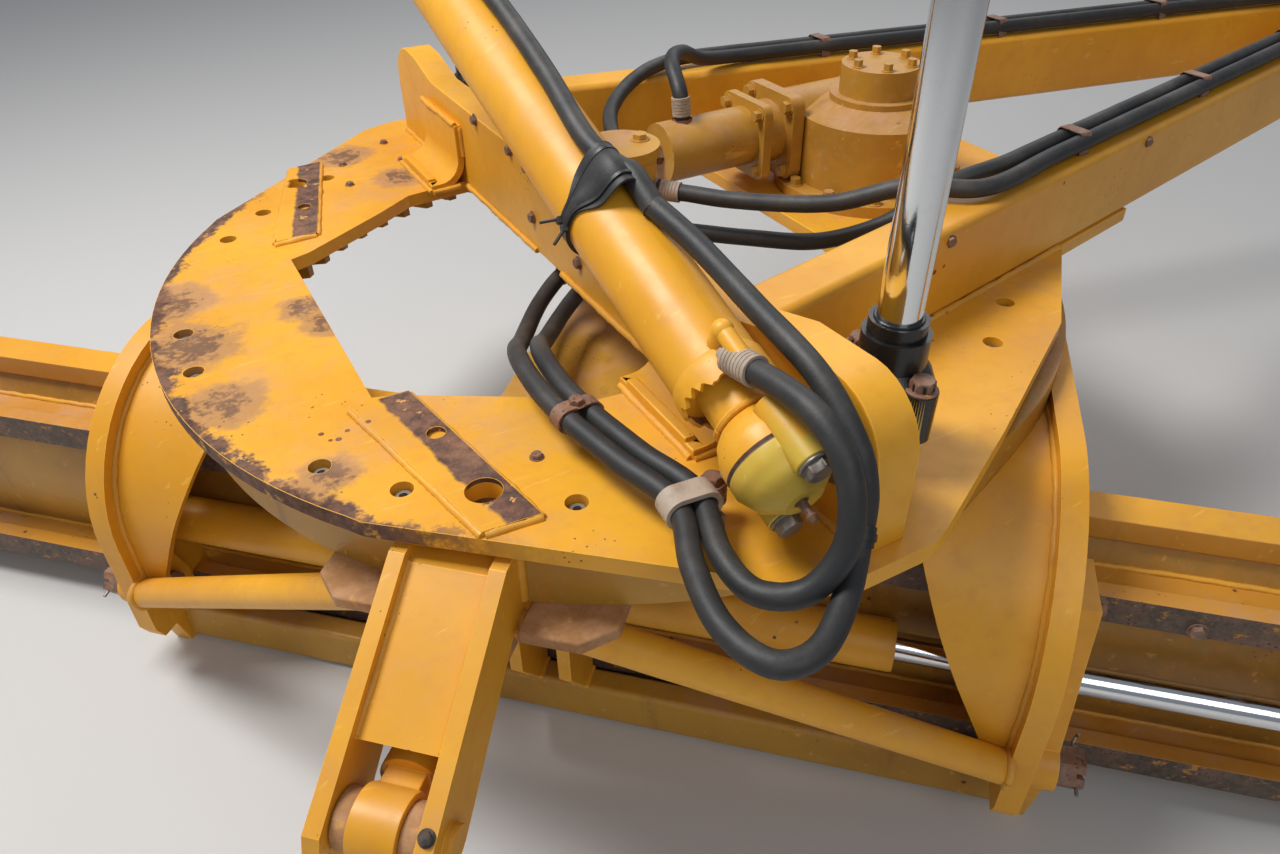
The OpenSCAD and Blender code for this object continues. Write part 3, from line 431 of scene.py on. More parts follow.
def tube(path, radius, sides=20, ends=True):
    """A round tube along a path, whose radius is one number or one for each point."""
    path = np.asarray(path, float)
    ahead = np.gradient(path, axis=0)
    ahead /= np.linalg.norm(ahead, axis=1)[:, None]
    up = np.array([0.0, 0.0, 1.0]) if abs(ahead[0][2]) < 0.9 else np.array([1.0, 0.0, 0.0])
    side = np.empty_like(path)
    for i, direction in enumerate(ahead):
        up = up - direction * (up @ direction)
        up /= np.linalg.norm(up)
        side[i] = up
    other = np.cross(ahead, side)
    t = np.linspace(0, 2 * np.pi, sides, endpoint=False)
    r = np.broadcast_to(np.asarray(radius, float), len(path))[:, None, None]
    points = path[:, None] + r * (np.cos(t)[None, :, None] * side[:, None]
                                  + np.sin(t)[None, :, None] * other[:, None])
    if ends:
        points = np.concatenate([np.repeat(path[:1, None], sides, 1), points,
                                 np.repeat(path[-1:, None], sides, 1)])
    return net(points, round_v=True)


def bead(points, size=0.006, seed=1):
    """A weld: a rippled half-buried cord along a chain of corners."""
    p = np.atleast_2d(np.asarray(points, float))
    lengths = np.r_[0, np.cumsum(np.linalg.norm(np.diff(p, axis=0), axis=1))]
    at = np.arange(0, lengths[-1], 0.0045)
    path = np.stack([np.interp(at, lengths, p[:, k]) for k in range(3)], -1)
    if len(path) < 3:
        path = np.linspace(p[0], p[-1], 4)
        at = np.linspace(0, lengths[-1], 4)
    wander = np.random.default_rng(seed).normal(0, 1, (len(path), 4))
    for k in range(4):
        wander[:, k] = np.convolve(wander[:, k], np.ones(5) / 5, "same")
    ripple = 1 + 0.13 * np.abs(np.sin(at * np.pi / 0.011)) + 0.16 * wander[:, 3]
    return tube(path + 0.0009 * wander[:, :3], size * ripple, 8)


def piece(name, shapes, coat, body, crease=38):
    """One object from shapes: joined, its faces turned outward, shaded smooth up to the crease angle."""
    corners, faces = joined(shapes if isinstance(shapes, list) else [shapes])
    mesh = bpy.data.meshes.new(name)
    mesh.from_pydata(corners.tolist(), [], faces.tolist())
    shape = bmesh.new()
    shape.from_mesh(mesh)
    bmesh.ops.remove_doubles(shape, verts=shape.verts, dist=1e-6)
    bmesh.ops.recalc_face_normals(shape, faces=shape.faces)
    shape.to_mesh(mesh)
    shape.free()
    mesh.shade_smooth()
    mesh.set_sharp_from_angle(angle=math.radians(crease))
    mesh.materials.append(coat)
    obj = bpy.data.objects.new(name, mesh)
    bpy.context.scene.collection.objects.link(obj)
    if body:
        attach(obj, body)
    return obj


def dressed(node, coat, edge_coat=None, width=0.0022, angle=28, crease=35, flatten=True):
    """A copy of a CAD node that stands for it, with rounded edges that may take a coat of their own."""
    shape = bmesh.new()
    shape.from_mesh(frame["nodes"][node].data)
    bmesh.ops.remove_doubles(shape, verts=shape.verts, dist=2e-5)
    if flatten:
        bmesh.ops.dissolve_limit(shape, angle_limit=math.radians(0.6), verts=shape.verts,
                                 edges=shape.edges)
    for face in shape.faces:
        face.material_index = 0
    sharp = [e for e in shape.edges if len(e.link_faces) == 2
             and e.calc_face_angle(0.0) > math.radians(angle) and e.calc_length() > 0.0005]
    bmesh.ops.bevel(shape, geom=sharp, offset=width, offset_type="OFFSET", segments=2, profile=0.6,
                    affect="EDGES", clamp_overlap=True, material=1 if edge_coat else -1)
    bmesh.ops.triangulate(shape, faces=[f for f in shape.faces if len(f.verts) > 4])
    mesh = bpy.data.meshes.new(node + "_skin")
    shape.to_mesh(mesh)
    shape.free()
    mesh.shade_smooth()
    mesh.set_sharp_from_angle(angle=math.radians(crease))
    mesh.materials.append(coat)
    if edge_coat:
        mesh.materials.append(edge_coat)
    obj = bpy.data.objects.new(node + "_skin", mesh)
    bpy.context.scene.collection.objects.link(obj)
    soft = obj.modifiers.new("even shading", "WEIGHTED_NORMAL")
    soft.keep_sharp = True
    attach(obj, BODY_OF[node])
    [s["material_slot"] for s in frame["record"]["subparts"] if s["node"] == node][0]
    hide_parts(node)
    return obj

# Coats shared by many pieces. The patches are the worn spots of the photographed plate.
PLATE_PATCHES = [(on_plate(p[:3]), p[3]) for p in (
    (-742, 30, 0, 0.17), (-755, 190, 0, 0.16), (-728, -160, 0, 0.13), (-692, -430, 0, 0.12),
    (-636, -395, 0, 0.09), (-525, 0, 0, 0.12), (-470, 130, 0, 0.12), (-560, 60, 0, 0.10),
    (-250, 520, 0, 0.12), (-330, 700, 0, 0.14), (120, -520, 0, 0.10), (-90, -740, 0, 0.08))]
yellow = paint("yellow")
pitted = paint("pitted_yellow", (0.66, 0.30, 0.03), (0.50, 0.21, 0.03), 1.0, 0.8, streaks=0.5)
plate_yellow = paint("plate_yellow", chips=0.75, dust=0.45, patches=PLATE_PATCHES, rim=0.80)
pad_yellow = paint("pad_yellow", chips=0.9, dust=0.3, strips=(
    (on_plate((-491, -271, 0)), on_plate((-435, -604, 0)), 0.044),
    (on_plate((-474, 323, 0)), on_plate((-380, 678, 0)), 0.044)))
# A darker copy of the yellow: its darker tone is painted shade; its chips, dust and rust streaks are real wear.
shaded_yellow = paint("dirty_and_shaded_yellow", (0.52, 0.27, 0.03), (0.36, 0.17, 0.02), 0.7, 0.9, streaks=0.6)
olive_yellow = paint("cap_yellow", (0.62, 0.42, 0.05), (0.50, 0.33, 0.035), 0.4, 0.2)
brown_yellow = paint("brown_yellow", (0.50, 0.25, 0.03), (0.30, 0.14, 0.02), 0.8, 0.7, streaks=0.9)
edge = cut_edge("cut_edge")
worn = rubbed_steel("worn_rail", (0.075, 0.055, 0.042), 0.2, 0.5)
rusty = rubbed_steel("rusty_steel", (0.14, 0.085, 0.06), 0.1, 0.9, 0.2)
ground = rubbed_steel("ground_edge", (0.16, 0.13, 0.11), 0.0, 0.6, 0.9)
bolt_steel = plain_metal("bolt_steel", (0.33, 0.30, 0.27), 0.42, 0.9, 0.75)
greasy = plain_metal("greasy_steel", (0.12, 0.105, 0.09), 0.28, 0.9, 0.9)
chrome = plain_metal("chrome", (0.78, 0.79, 0.80), 0.07, 1.0, 0.06, 500.0)
matt_chrome = plain_metal("matt_chrome", (0.62, 0.62, 0.60), 0.32, 1.0, 0.12, 500.0)
rubber = soft_black("hose_rubber", dust=0.5)
gloss_black = soft_black("black_paint", (0.012, 0.012, 0.012), 0.16, 0.35)
plastic = soft_black("tie_plastic", (0.015, 0.015, 0.015), 0.35, 0.25)
primer = dusty("primer_dust")
ferrule_coat = dusty("ferrule", (0.42, 0.33, 0.25), (0.27, 0.20, 0.15), 0.6)
weld_coat = paint("weld_yellow", (0.82, 0.40, 0.03), (0.62, 0.28, 0.02), 0.7, 0.5)


def zone(obj, coat, chosen):
    """The faces chosen by their middles (in metres) and normals take another coat."""
    mesh = obj.data
    middles = np.empty(3 * len(mesh.polygons))
    mesh.polygons.foreach_get("center", middles)
    normals = np.empty(3 * len(mesh.polygons))
    mesh.polygons.foreach_get("normal", normals)
    picked = chosen(middles.reshape(-1, 3), normals.reshape(-1, 3))
    numbers = np.empty(len(mesh.polygons), np.int32)
    mesh.polygons.foreach_get("material_index", numbers)
    mesh.materials.append(coat)
    numbers[picked] = len(mesh.materials) - 1
    mesh.polygons.foreach_set("material_index", numbers)


# Rolled and cut plate: drawbar plate, shelf, yoke, gussets, pads and the arms, painted, with edges
# that show their cutting lines under a lighter yellow that is painted highlight.
for node in ("drawbar_plate", "gearbox_shelf"):
    dressed(node, plate_yellow, edge, 0.0015)
for node in ("lift_yoke", "yoke_gussets", "arm_left", "arm_right", "tip_bracket", "carrier_end_left",
             "carrier_end_right", "coupling_plate", "side_shift_anchor", "centre_bracket"):
    dressed(node, yellow, edge, 0.0024)
dressed("wear_pads", pad_yellow, edge, 0.0012)

# Tubes, beams and castings: painted all over, with plain rounded edges.
# The hose arm, carrier beam, circle ring, gearbox, motor and swivel take the darker yellow whose tone is
# painted shade.
for node in ("beam_left", "beam_right", "nose_block", "brace_tubes", "hose_arm", "carrier_beam",
             "side_shift_barrel", "lift_barrel_left", "lift_barrel_right"):
    dressed(node, shaded_yellow if node in ("hose_arm", "carrier_beam") else yellow)
dressed("circle_ring", shaded_yellow, flatten=False)
for node in ("gearbox", "drive_motor", "swivel"):
    dressed(node, shaded_yellow, None, 0.003)
dressed("tube_pads", primer, None, 0.004)
blade_back = dressed("moldboard", brown_yellow, None, 0.002)
zone(blade_back, pitted, lambda p, n: (p[:, 2] > CIRCLE[2] - 0.222) & (n[:, 2] < 0.5))
zone(blade_back, yellow, lambda p, n: (p[:, 2] > CIRCLE[2] - 0.222) & (n[:, 2] > 0.5))

knuckle = dressed("tip_barrel", yellow)
zone(knuckle, primer, lambda p, n: abs((p - CIRCLE) @ (-math.sin(SWING), math.cos(SWING), 0)) > 0.0302)

# Steel that slides, cuts or turns.
for node in ("upper_rail", "lower_rail"):
    zone(dressed(node, worn, None, 0.0012), pitted, lambda p, n: n[:, 2] > 0.6)
for node in ("circle_shoes", "hose_clamps", "pivot_pins"):
    dressed(node, rusty, None, 0.0015)
for node in ("cutting_edge", "end_bits"):
    dressed(node, ground, None, 0.0015)
for node in ("draft_ball", "lift_studs", "centre_shift_stud", "drive_pinion"):
    dressed(node, greasy, None, 0.001)
for node in ("side_shift_rod", "tip_rod", "centre_shift_rod"):
    dressed(node, chrome, None, 0.0008, 40)


# Lift rods: hard chrome over a black collar and housing, whose yellow cap is drawn up by two rusty bolts.
LIFT_BALL = np.array([0.0, 0.695, 0.085])
for side, word in ((1, "left"), (-1, "right")):
    ball = CIRCLE + LIFT_BALL * [1, side, 1]
    lean = np.array([0, side * math.sin(LIFT_LEAN), math.cos(LIFT_LEAN)])
    across = np.cross(lean, (1, 0, 0))
    rod = dressed("lift_rod_" + word, chrome, None, 0.0012)
    zone(rod, gloss_black, lambda p, n: (p - ball) @ lean < 0.1105)
    zone(rod, matt_chrome, lambda p, n: ((p - ball) @ lean > 0.1105) & ((p - ball) @ lean < 0.165))
    zone(rod, olive_yellow, lambda p, n: (p - ball) @ lean < -0.001)
    zone(rod, rusty, lambda p, n: abs((p - ball) @ lean) < 0.0032)
    piece("rod_scraper_" + word, washer(ball + 0.1085 * lean, lean, 0.0305, 0.004, 0.0272), gloss_black,
          "lift_rod_" + word)
    tops = []
    for lobe in (-0.056, 0.056):
        tops += [washer(ball + 0.0371 * lean + lobe * across, lean, 0.0201, 0.0045),
                 hexagon(ball + 0.0415 * lean + lobe * across, lean, 0.0158, 0.0125, 0.4)]
    piece("lobe_bolts_" + word, tops, rusty, "lift_rod_" + word)
    nipple = [hexagon(ball - 0.057 * lean, -lean, 0.008, 0.006),
              lathe([(0.006, 0), (0.006, 0.0045), (0.013, 0.004), (0.016, 0.005), (0.0195, 0.003),
                     (0.0205, 0)],
                    ball - 0.057 * lean, -lean, 20)]
    piece("cap_nipple_" + word, nipple, greasy, "lift_rod_" + word)
    ring = [lathe([(0.7495, 0.0273), (0.7495, 0.046), (0.742, 0.045), (0.738, 0.0273)], ball, lean)]
    piece("rod_wiper_" + word, ring, rubber, "lift_barrel_" + word)


# Centre-shift cylinder: an orange housing with a greenish cap, bolted together, and a barrel whose
# lower end is a torch-cut guard tube. All in the cylinder's own frame: along, to the rear, up.
CENTRE_BALL = on_plate((-220, -765, 115))
CYL = np.array([[0, math.cos(CENTRE_RISE), math.sin(CENTRE_RISE)], [-1, 0, 0],
                [0, -math.sin(CENTRE_RISE), math.cos(CENTRE_RISE)]])


def on_cylinder(points):
    """Places in millimetres in the centre-shift cylinder's frame, in the row's metres."""
    return CENTRE_BALL + np.asarray(points, float) / 1000 @ CYL


barrel = dressed("centre_shift_barrel", yellow, None, 0.0018)
zone(barrel, olive_yellow, lambda p, n: (p - CENTRE_BALL) @ CYL[0] < -0.001)
zone(barrel, rusty, lambda p, n: abs((p - CENTRE_BALL) @ CYL[0]) < 0.0032)
lobes, tops = [], []
for height in (-56, 56):
    lobes.append(lathe([(0.0, 0), (0.0, 0.0213), (0.021, 0.0213), (0.0225, 0.020), (0.0225, 0)],
                       on_cylinder((-24, 0, height)), -CYL[0], 36))
    tops += [washer(on_cylinder((-46, 0, height)), -CYL[0], 0.0195, 0.004),
             hexagon(on_cylinder((-50, 0, height)), -CYL[0], 0.0165, 0.012, 0.5)]
piece("cap_lobes", lobes, olive_yellow, "centre_barrel")
piece("cap_bolts", tops, bolt_steel, "centre_barrel")
angle = np.linspace(0, 2 * np.pi, 120, endpoint=False)
rag = np.random.default_rng(5).normal(0, 1, 120)
rag = 7.0 * np.convolve(np.r_[rag, rag[:2]], np.ones(3) / 3, "same")[:120]
start = 95 + 8 * np.sin(angle + 2.2) + rag
guard = [[(1 - s) * start[i] + s * 128, r * np.cos(a), r * np.sin(a)]
         for r, s in ((57.2, 1), (59.4, 0.9), (60.2, 0.4), (60.0, 0), (55.0, 0), (54.2, 0.6), (54.2, 0.94))
         for i, a in enumerate(angle)]
guard = net(on_cylinder(guard).reshape(7, 120, 3), round_v=True)
guard_skin = piece("barrel_guard", guard, yellow, "centre_barrel", crease=50)
zone(guard_skin, rusty, lambda p, n: np.linalg.norm(np.cross(p - CENTRE_BALL, CYL[0]), axis=1) < 0.0562)
nipple = [hexagon(on_cylinder((-50, 4, 0)), -CYL[0], 0.011, 0.008),
          lathe([(0, 0.006), (0.016, 0.005), (0.02, 0.007), (0.026, 0.004), (0.027, 0)],
                on_cylinder((-58, 4, 0)), -CYL[0], 20)]
piece("housing_nipple", nipple, rusty, "centre_barrel")
piece("housing_bead", bead(on_cylinder([(58, 39.5 * math.cos(a), 39.5 * math.sin(a))
                                        for a in np.linspace(0, 6.28, 40)]), 0.004), weld_coat, "centre_barrel")
piece("gland_ring", [washer(on_cylinder((1150, 0, 0)), CYL[0], 0.0605, 0.012, 0.05),
                     washer(on_cylinder((1170, 0, 0)), CYL[0], 0.0605, 0.008, 0.05)], yellow, "centre_barrel")


# Hoses: black rubber on the routes of the solid model, with ribbed ferrules and fittings at their ends.
HOSE_R = 0.0145
outer_loop = [[-58.8, 21.4, -40], [-80, 29, -41], [-118, 24, -45], [-190, -40, -52], [-272, -160, -35],
              [-318, -255, 12], [-345, -345, 44], [-354, -430, 51], [-350, -510, 52], [-335, -610, 52],
              [-314, -712, 50], [-347, -800, 47], [-366, -885, 46], [-350, -948, 46], [-304, -960, 50],
              [-244, -925, 60], [-198, -884, 88], [-185, -869, 132], [-183, -842, 176], [-182, -773, 219],
              [-182, -660, 242], [-186, -540, 270], [-200, -462, 292]]
inner_loop = [[-58.8, -21.4, -40], [-80, -29, -41], [-112, -44, -46], [-165, -85, -54], [-238, -175, -38],
              [-284, -262, 12], [-312, -350, 44], [-321, -430, 50], [-317, -505, 50], [-302, -610, 50],
              [-283, -705, 50], [-312, -800, 47], [-312, -866, 48], [-276, -902, 62], [-240, -908, 104],
              [-227, -896, 154], [-224, -870, 195], [-225, -829, 216], [-227, -778, 218], [-229, -717, 210]]


def hose(name, path, body, radius=HOSE_R):
    """A hose of rubber along a fine path, with a skin a little uneven along its length."""
    far = np.cumsum(np.r_[0, np.linalg.norm(np.diff(path, axis=0), axis=1)])
    swell = radius * (1 + 0.006 * np.sin(far / 0.013) + 0.006 * np.sin(far / 0.031))
    return piece(name, tube(path, swell, 24), rubber, body, 50)


def ferrule(origin, along, length=0.05, radius=0.0175, ribs=6):
    """The crimped sleeve on a hose's end: flat grooves pressed in between ribs, then a hexagon nut."""
    rows = [(0, 0.0147), (0, radius * 0.97)]
    for i in range(ribs):
        a, b = (i + 0.1) / ribs, (i + 0.9) / ribs
        rows += [(a * length, radius), (b * length, radius), (b * length + 0.001, radius * 0.94)]
    rows += [(length, radius * 0.95), (length, 0.012), (length + 0.012, 0.012), (length + 0.012, 0)]
    nut = hexagon(np.asarray(origin) + (length + 0.006) * axes(along)[0], along, radius * 1.12, 0.02)
    return [lathe(rows, origin, along, 32)], [nut]


loops = []
for word, route in (("outer", outer_loop), ("inner", inner_loop)):
    path = smooth_route(on_plate(route))
    skin = hose("loop_" + word, path, None)
    loops.append((skin, path))
ends, nuts = [], []
for path in (loops[0][1], loops[1][1]):
    e, n = ferrule(path[7], path[2] - path[7], 0.045)
    ends += e
    nuts += n
piece("swivel_ferrules", ends, ferrule_coat, "drawbar")
piece("swivel_nuts", nuts, rusty, "drawbar")
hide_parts("loop_hoses")
for skin, path in loops:
    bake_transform(skin)
    run = float(np.linalg.norm(np.diff(path, axis=0), axis=1).sum())

lay = 57 + 14.5 + 0.3
barrel_route = [[392, -18, lay + 4], [470, 4, lay], [620, -6, lay], [780, -10, lay], [940, -4, lay],
                [1080, 0, lay]]
barrel_hose = hose("barrel_hose_skin", smooth_route(on_cylinder(barrel_route)), "centre_barrel")
cuff = [[338, -20, 66.6], [345, -20, 68], [368, -19, 72], [392, -18, 75.8], [404, -15.5, 75]]
hose("hose_cuff", smooth_route(on_cylinder(cuff)), "centre_barrel", HOSE_R + 0.0009)
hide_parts("barrel_hose")

COUPLE_X, COUPLE_Z = 2240, 170
BEAM_IN, SLOPE = 459.28, 0.2025


def on_beam(x, side, offset):
    """A place over a beam, offset in millimetres from its inner edge."""
    return [x, side * (BEAM_IN - SLOPE * x + offset), COUPLE_Z]


def beam_route(first, side, start, offset, end_y):
    """A beam hose: its own first points, then along the beam to the coupling plate."""
    along = [on_beam(x, side, offset) for x in (start, *range(620, 1821, 300))]
    return first + along + [[COUPLE_X - 120, end_y, COUPLE_Z], [COUPLE_X - 60, end_y, COUPLE_Z],
                            [COUPLE_X - 0.5, end_y, COUPLE_Z]]


beam_routes = {
    "beam_hoses_right": [
        beam_route([[41, -47.2, 112], [78, -90, 112], [140, -165, 112], [240, -275, 126], [320, -362, 168]],
                   -1, 420, 56, -72),
        beam_route([[44.2, -44.2, 38], [85, -85, 38], [160, -160, 38], [250, -245, 44], [330, -318, 88],
                    [410, -352, 146]], -1, 510, 20, -32)],
    "beam_hoses_left": [
        beam_route([[190, 110, 161.9], [190, 110, 180], [190, 120, 212], [215, 190, 246], [300, 290, 226],
                    [390, 362, 184]], 1, 490, 20, 32),
        beam_route([[139.1, 110, 105], [118, 110, 105], [92, 118, 107], [78, 170, 128], [120, 262, 150],
                    [230, 368, 164], [350, 425, 170]], 1, 480, 52, 72)]}
ends, nuts, straps = [], [], []
for node, routes in beam_routes.items():
    for number, route in enumerate(routes):
        path = smooth_route(on_plate(route))
        hose("%s_%d" % (node, number), path, "drawbar")
        for origin, toward in ((path[6], path[0] - path[6]), (path[-8], path[-1] - path[-8])):
            e, n = ferrule(origin, toward, 0.034)
            ends += e
            nuts += n
    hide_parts(node)
    side = -1 if node.endswith("right") else 1
    for x in (700, 1150, 1600, 2000):
        low, high = on_beam(x, side, 8), on_beam(x, side, 66)
        y = np.linspace(low[1], high[1], 24)
        t = np.linspace(0, 1, 24)
        z = 171 + 17.5 * np.minimum(1, np.minimum(t, 1 - t) * 9) ** 0.5 - 20 * (t < 0.02) - 20 * (t > 0.98)
        strap = np.stack([np.stack([np.full(24, x + dx), y, z + dz], -1)
                          for dx, dz in ((-12, 0), (12, 0), (12, -1.6), (-12, -1.6))])
        straps.append(net(on_plate(strap), round_u=True))
piece("hose_ferrules", ends, ferrule_coat, "drawbar")
piece("hose_nuts", nuts, rusty, "drawbar")
piece("hose_straps", straps, rusty, "drawbar")

# The port on the barrel: a beige ribbed ferrule meets the elbow of the solid model.
e, n = ferrule(loops[1][1][-3], loops[1][1][-1] - loops[1][1][-3], 0.046, 0.0185, 8)
piece("port_ferrule", e, ferrule_coat, "centre_barrel")


# Welds: rippled beads where plates and tubes meet, gathered into one piece for each moving body.
BEAD = 0.0055
REAR, FRONT = -146, -88


def sweep(centre, radius, start, end, steps=24):
    """Points of an arc in degrees around a centre, in the plane of the first two numbers."""
    t = np.radians(np.linspace(start, end, steps))
    return [(centre[0] + radius * math.cos(a), centre[1] + radius * math.sin(a)) for a in t]


runs = []
for x in (REAR - 1, FRONT + 1):
    for y0, y1 in ((-838, -602), (-400, -52), (52, 400), (602, 792)) if x < FRONT else (
            (-838, -566), (-474, -52), (52, 474), (566, 792)):
        runs.append([(x, y0, 1), (x, y1, 1)])
for side in (-1, 1):
    for y in (401, 601):
        runs.append([(-162, side * y, 4), (-222, side * y, 1)])
        runs.append([(-147, side * y, 122), (-147, side * y, 60)])
    runs.append([(-158, side * 404, 127), (-158, side * 598, 127)])
    runs.append([(-223, side * 404, 1), (-223, side * 598, 1)])
    for offset in (-1, 86.5):
        y = side * (459.28 + offset + 18)
        runs.append([(FRONT + 1, y, 4), (FRONT + 1, y, 140)])
        runs.append([(x, side * (459.28 - 0.2025 * x + offset + (2 if offset > 0 else 0)), 1)
                     for x in np.linspace(FRONT, 655, 8)])
    runs.append([(-86, side * 50, 22), (8, side * 50, 22)])
    runs.append([(-86, side * 51, 24), (-86, side * 51, 128)])
for x, y in ((-279, -708), (-317, -495)):
    runs.append([(u, v, 1) for u, v in sweep((x, y), 13, 0, 350)])
runs += [[(2238, -92, 151), (2238, 92, 151)], [(2258, -92, 151), (2258, 92, 151)]]
for pad in (((-576, -269), (-491, -271), (-435, -604), (-510, -598)),
            ((-553, 321), (-474, 323), (-380, 678), (-447, 673))):
    for a, b in zip(pad, pad[1:] + pad[:1]):
        runs.append([(*a, 1), (*b, 1)])
beads = [bead(on_plate(run), BEAD if len(run) < 9 or abs(run[0][0]) > 300 else BEAD * 1.1, number)
         for number, run in enumerate(runs)]
piece("drawbar_welds", beads, weld_coat, "drawbar", crease=60)

beads = []
RING_R = 765
for side in (-1, 1):
    for y in (54, 76):
        x = -math.sqrt(RING_R**2 - y**2) - 1
        beads.append(bead(on_circle([(x, side * y, -38), (x, side * y, -122)]), 0.006, y))
    beads.append(bead(on_circle([(-796, side * 53, -51), (-974, side * 53, -161)]), 0.005, 5))
    arc = [(x, side * 733, z) for x, z in sweep((-321, -359), 258, 92, 180, 40)]
    beads.append(bead(on_circle(arc + [(-321 - 258, side * 733, -470)]), 0.0042, 7))
    arc = [(x, side * 733.5, z) for x, z in sweep((-321, -359), 272, 92, 180, 40)]
    arc = [(-180, side * 733.5, -87)] + arc + [(-593, side * 733.5, -480)]
    beads.append(bead(on_circle(arc), 0.005, 8))
    beads.append(bead(on_circle([(x, side * 733, -126) for x in np.linspace(-320, 245, 12)]), 0.006, 9))
    foot, head = np.array([-585, side * 816, -515.0]), np.array([-777, side * 107, -135.0])
    run = head - foot
    a, b, c = axes(run)
    for t, slant in ((82 / 709, np.array([0, side, 0])), ((380 - 20) / 380, np.array([0, 0, 1.0]))):
        loop = []
        for angle in np.linspace(0, 2 * np.pi, 48):
            ray = 26.5 * (math.cos(angle) * b + math.sin(angle) * c)
            at = foot + t * run + ray
            target = side * 734 if slant[1] else -145
            step = (target - at[1]) / run[1] if slant[1] else (target - at[2]) / run[2]
            loop.append(at + step * run)
        beads.append(bead(on_circle(loop), 0.006, int(t * 100)))
    beads.append(bead(on_circle([(-706, side * 85, -126), (-757, side * 84, -126)]), 0.004, 3))
beads.append(bead(on_circle([(-730, -53, -49), (-730, 53, -49)]), 0.005, 4))
piece("circle_welds", beads, weld_coat, "circle", crease=60)

beads = []
for side in (-1, 1):
    for z in (-700, -612):
        beads.append(bead(on_circle([(-508, side * 774, z), (-468, side * 774, z)]), 0.005, 1))
    for y in (31, 55):
        beads.append(bead(on_circle([(-512, side * y, -611), (-466, side * y, -611)]), 0.005, 2))
    beads.append(bead(on_circle([(-460 + 42 * math.cos(t), side * 56, -420 + 42 * math.sin(t))
                                 for t in np.linspace(1.2, 5.1, 30)]), 0.005, 3))
piece("carrier_welds", beads, weld_coat, "carrier", crease=60)

beads = []
BLADE = (29, -430)
for z, back in ((-219, 435), (-260, 435), (-280, 435), (-590, 435), (-610, 435)):
    x = BLADE[0] - math.sqrt(back**2 - (z - BLADE[1])**2) - 1
    reach = 1500 if z != -219 else 1828
    beads.append(bead(on_circle([(x, -reach, z), (x, reach, z)]), 0.0045, -z))
beads.append(bead(on_circle([(-436, y, z) for y, z in ((-1164, -345), (-1164, -495))]), 0.005, 2))
piece("blade_welds", beads, weld_coat, "blade", crease=60)


# Bolts and nuts: hexagon heads on washers, rusty or greasy, gathered in the same way.
heads = []
for x, y, r in ((-747, 75, 15), (-750, -49, 15), (-643, -368, 15), (-565, -466, 15), (-623, 396, 15),
                (-541, 486, 15), (-387, -598, 15), (-387, 598, 15), (429, -507, 15), (321, -586, 15),
                (429, 507, 15), (321, 586, 15)):
    heads.append(hexagon(on_plate((x, y, -25)), (0, 0, 1), 0.0125, 0.014, x * 0.3, hollow=0.45))
    heads.append(washer(on_plate((x, y, -25)), (0, 0, 1), 0.0149, 0.006))
piece("sunk_bolts", heads, bolt_steel, "drawbar")
heads = []
for x, y in ((-339, 653), (-219, 614), (-356, 534), (-222, 737), (-393, -493), (290, -484)):
    heads += bolt(on_plate((x, y, 0)), (0, 0, 1), 0.0075, turn=x * 0.7)
for y, z in ((310, 163), (142, 158), (69, 150), (61, 62), (-121, 52)):
    heads += bolt(on_plate((REAR, y, z)), (-1, 0, 0), 0.009, turn=y * 0.7)
for side in (-1, 1):
    for x, z in ((300, 130), (900, 130), (1500, 130)):
        heads += bolt(on_plate((x, side * (546 - 0.2025 * x), z)), (-0.2, side, 0), 0.008)
for x, y in ((2249, -84), (2249, 84)):
    heads += bolt(on_plate((x, y, 200)), (0, 0, 1), 0.006)
piece("small_bolts", heads, rusty, "drawbar")

heads = []
for side in (-1, 1):
    for x, z in ((-482, -240), (-482, -302), (-482, -568), (-482, -634)):
        heads += bolt(on_circle((x, side * 812, z)), np.array([-0.7237, 0.6901, 0]) * side, 0.014, turn=z)
piece("jaw_bolts", heads, rusty, "carrier")

heads = []
turned = on_circle(np.array([(-1000.0, 0, 0), (0, 0, 0)])) - on_circle((0, 0, 0))
BACK = turned[0] / np.linalg.norm(turned[0])
DOME = [(-0.004, 0), (-0.004, 0.016), (0.002, 0.0145), (0.0035, 0)]


def blade_bolt(y, z, turn):
    """A bolt through the blade at one height: its head behind, a domed disc in front."""
    lean = math.asin((z - BLADE[1]) / 435)
    along = BACK * math.cos(lean) + np.array([0, 0, math.sin(lean)])
    back, front = ((BLADE[0] - r * math.cos(lean), y, BLADE[1] + r * math.sin(lean))
                   for r in (434.5, 394.5))
    return bolt(on_circle(back), along, 0.015, turn=turn) + [lathe(DOME, on_circle(front), -along, 28)]


for y in range(-1750, 1751, 140):
    heads += blade_bolt(y, -636, y * 0.37)
for side in (-1, 1):
    for y, z in ((1640, -560), (1770, -560), (1640, -490), (1770, -490)):
        heads += blade_bolt(side * y, z, y)
for y, z in ((-960, -290), (-1100, -290)):
    heads += bolt(on_circle((-455, y, z + 8)), BACK, 0.011, turn=y)
piece("edge_bolts", heads, rusty, "blade")


# Clamps: a split block with a bolt on the big post, a wrapped clip on the small one, a band that ties
# both loops together, cable ties and a rubber sleeve on the centre-shift barrel.
def pair_band(first, second, along, radius, width, thick):
    """A flat band around two hoses that lie side by side."""
    a = np.asarray(along, float) / np.linalg.norm(along)
    gap = second - first
    gap -= a * (gap @ a)
    across = gap / np.linalg.norm(gap)
    up = np.cross(a, across)
    half = np.linalg.norm(gap) / 2
    middle = (first + second) / 2
    rows = []
    for shift, r in ((-width / 2, radius), (-width / 2, radius + thick), (width / 2, radius + thick),
                     (width / 2, radius)):
        t = np.linspace(0, 2 * np.pi, 64, endpoint=False)
        centre = np.where(np.cos(t) >= 0, half, -half)[:, None] * across
        rows.append(middle + shift * a + centre + r * (np.cos(t)[:, None] * across + np.sin(t)[:, None] * up))
    return net(np.array(rows + rows[:1]), round_v=True)


outer, inner = loops[0][1], loops[1][1]


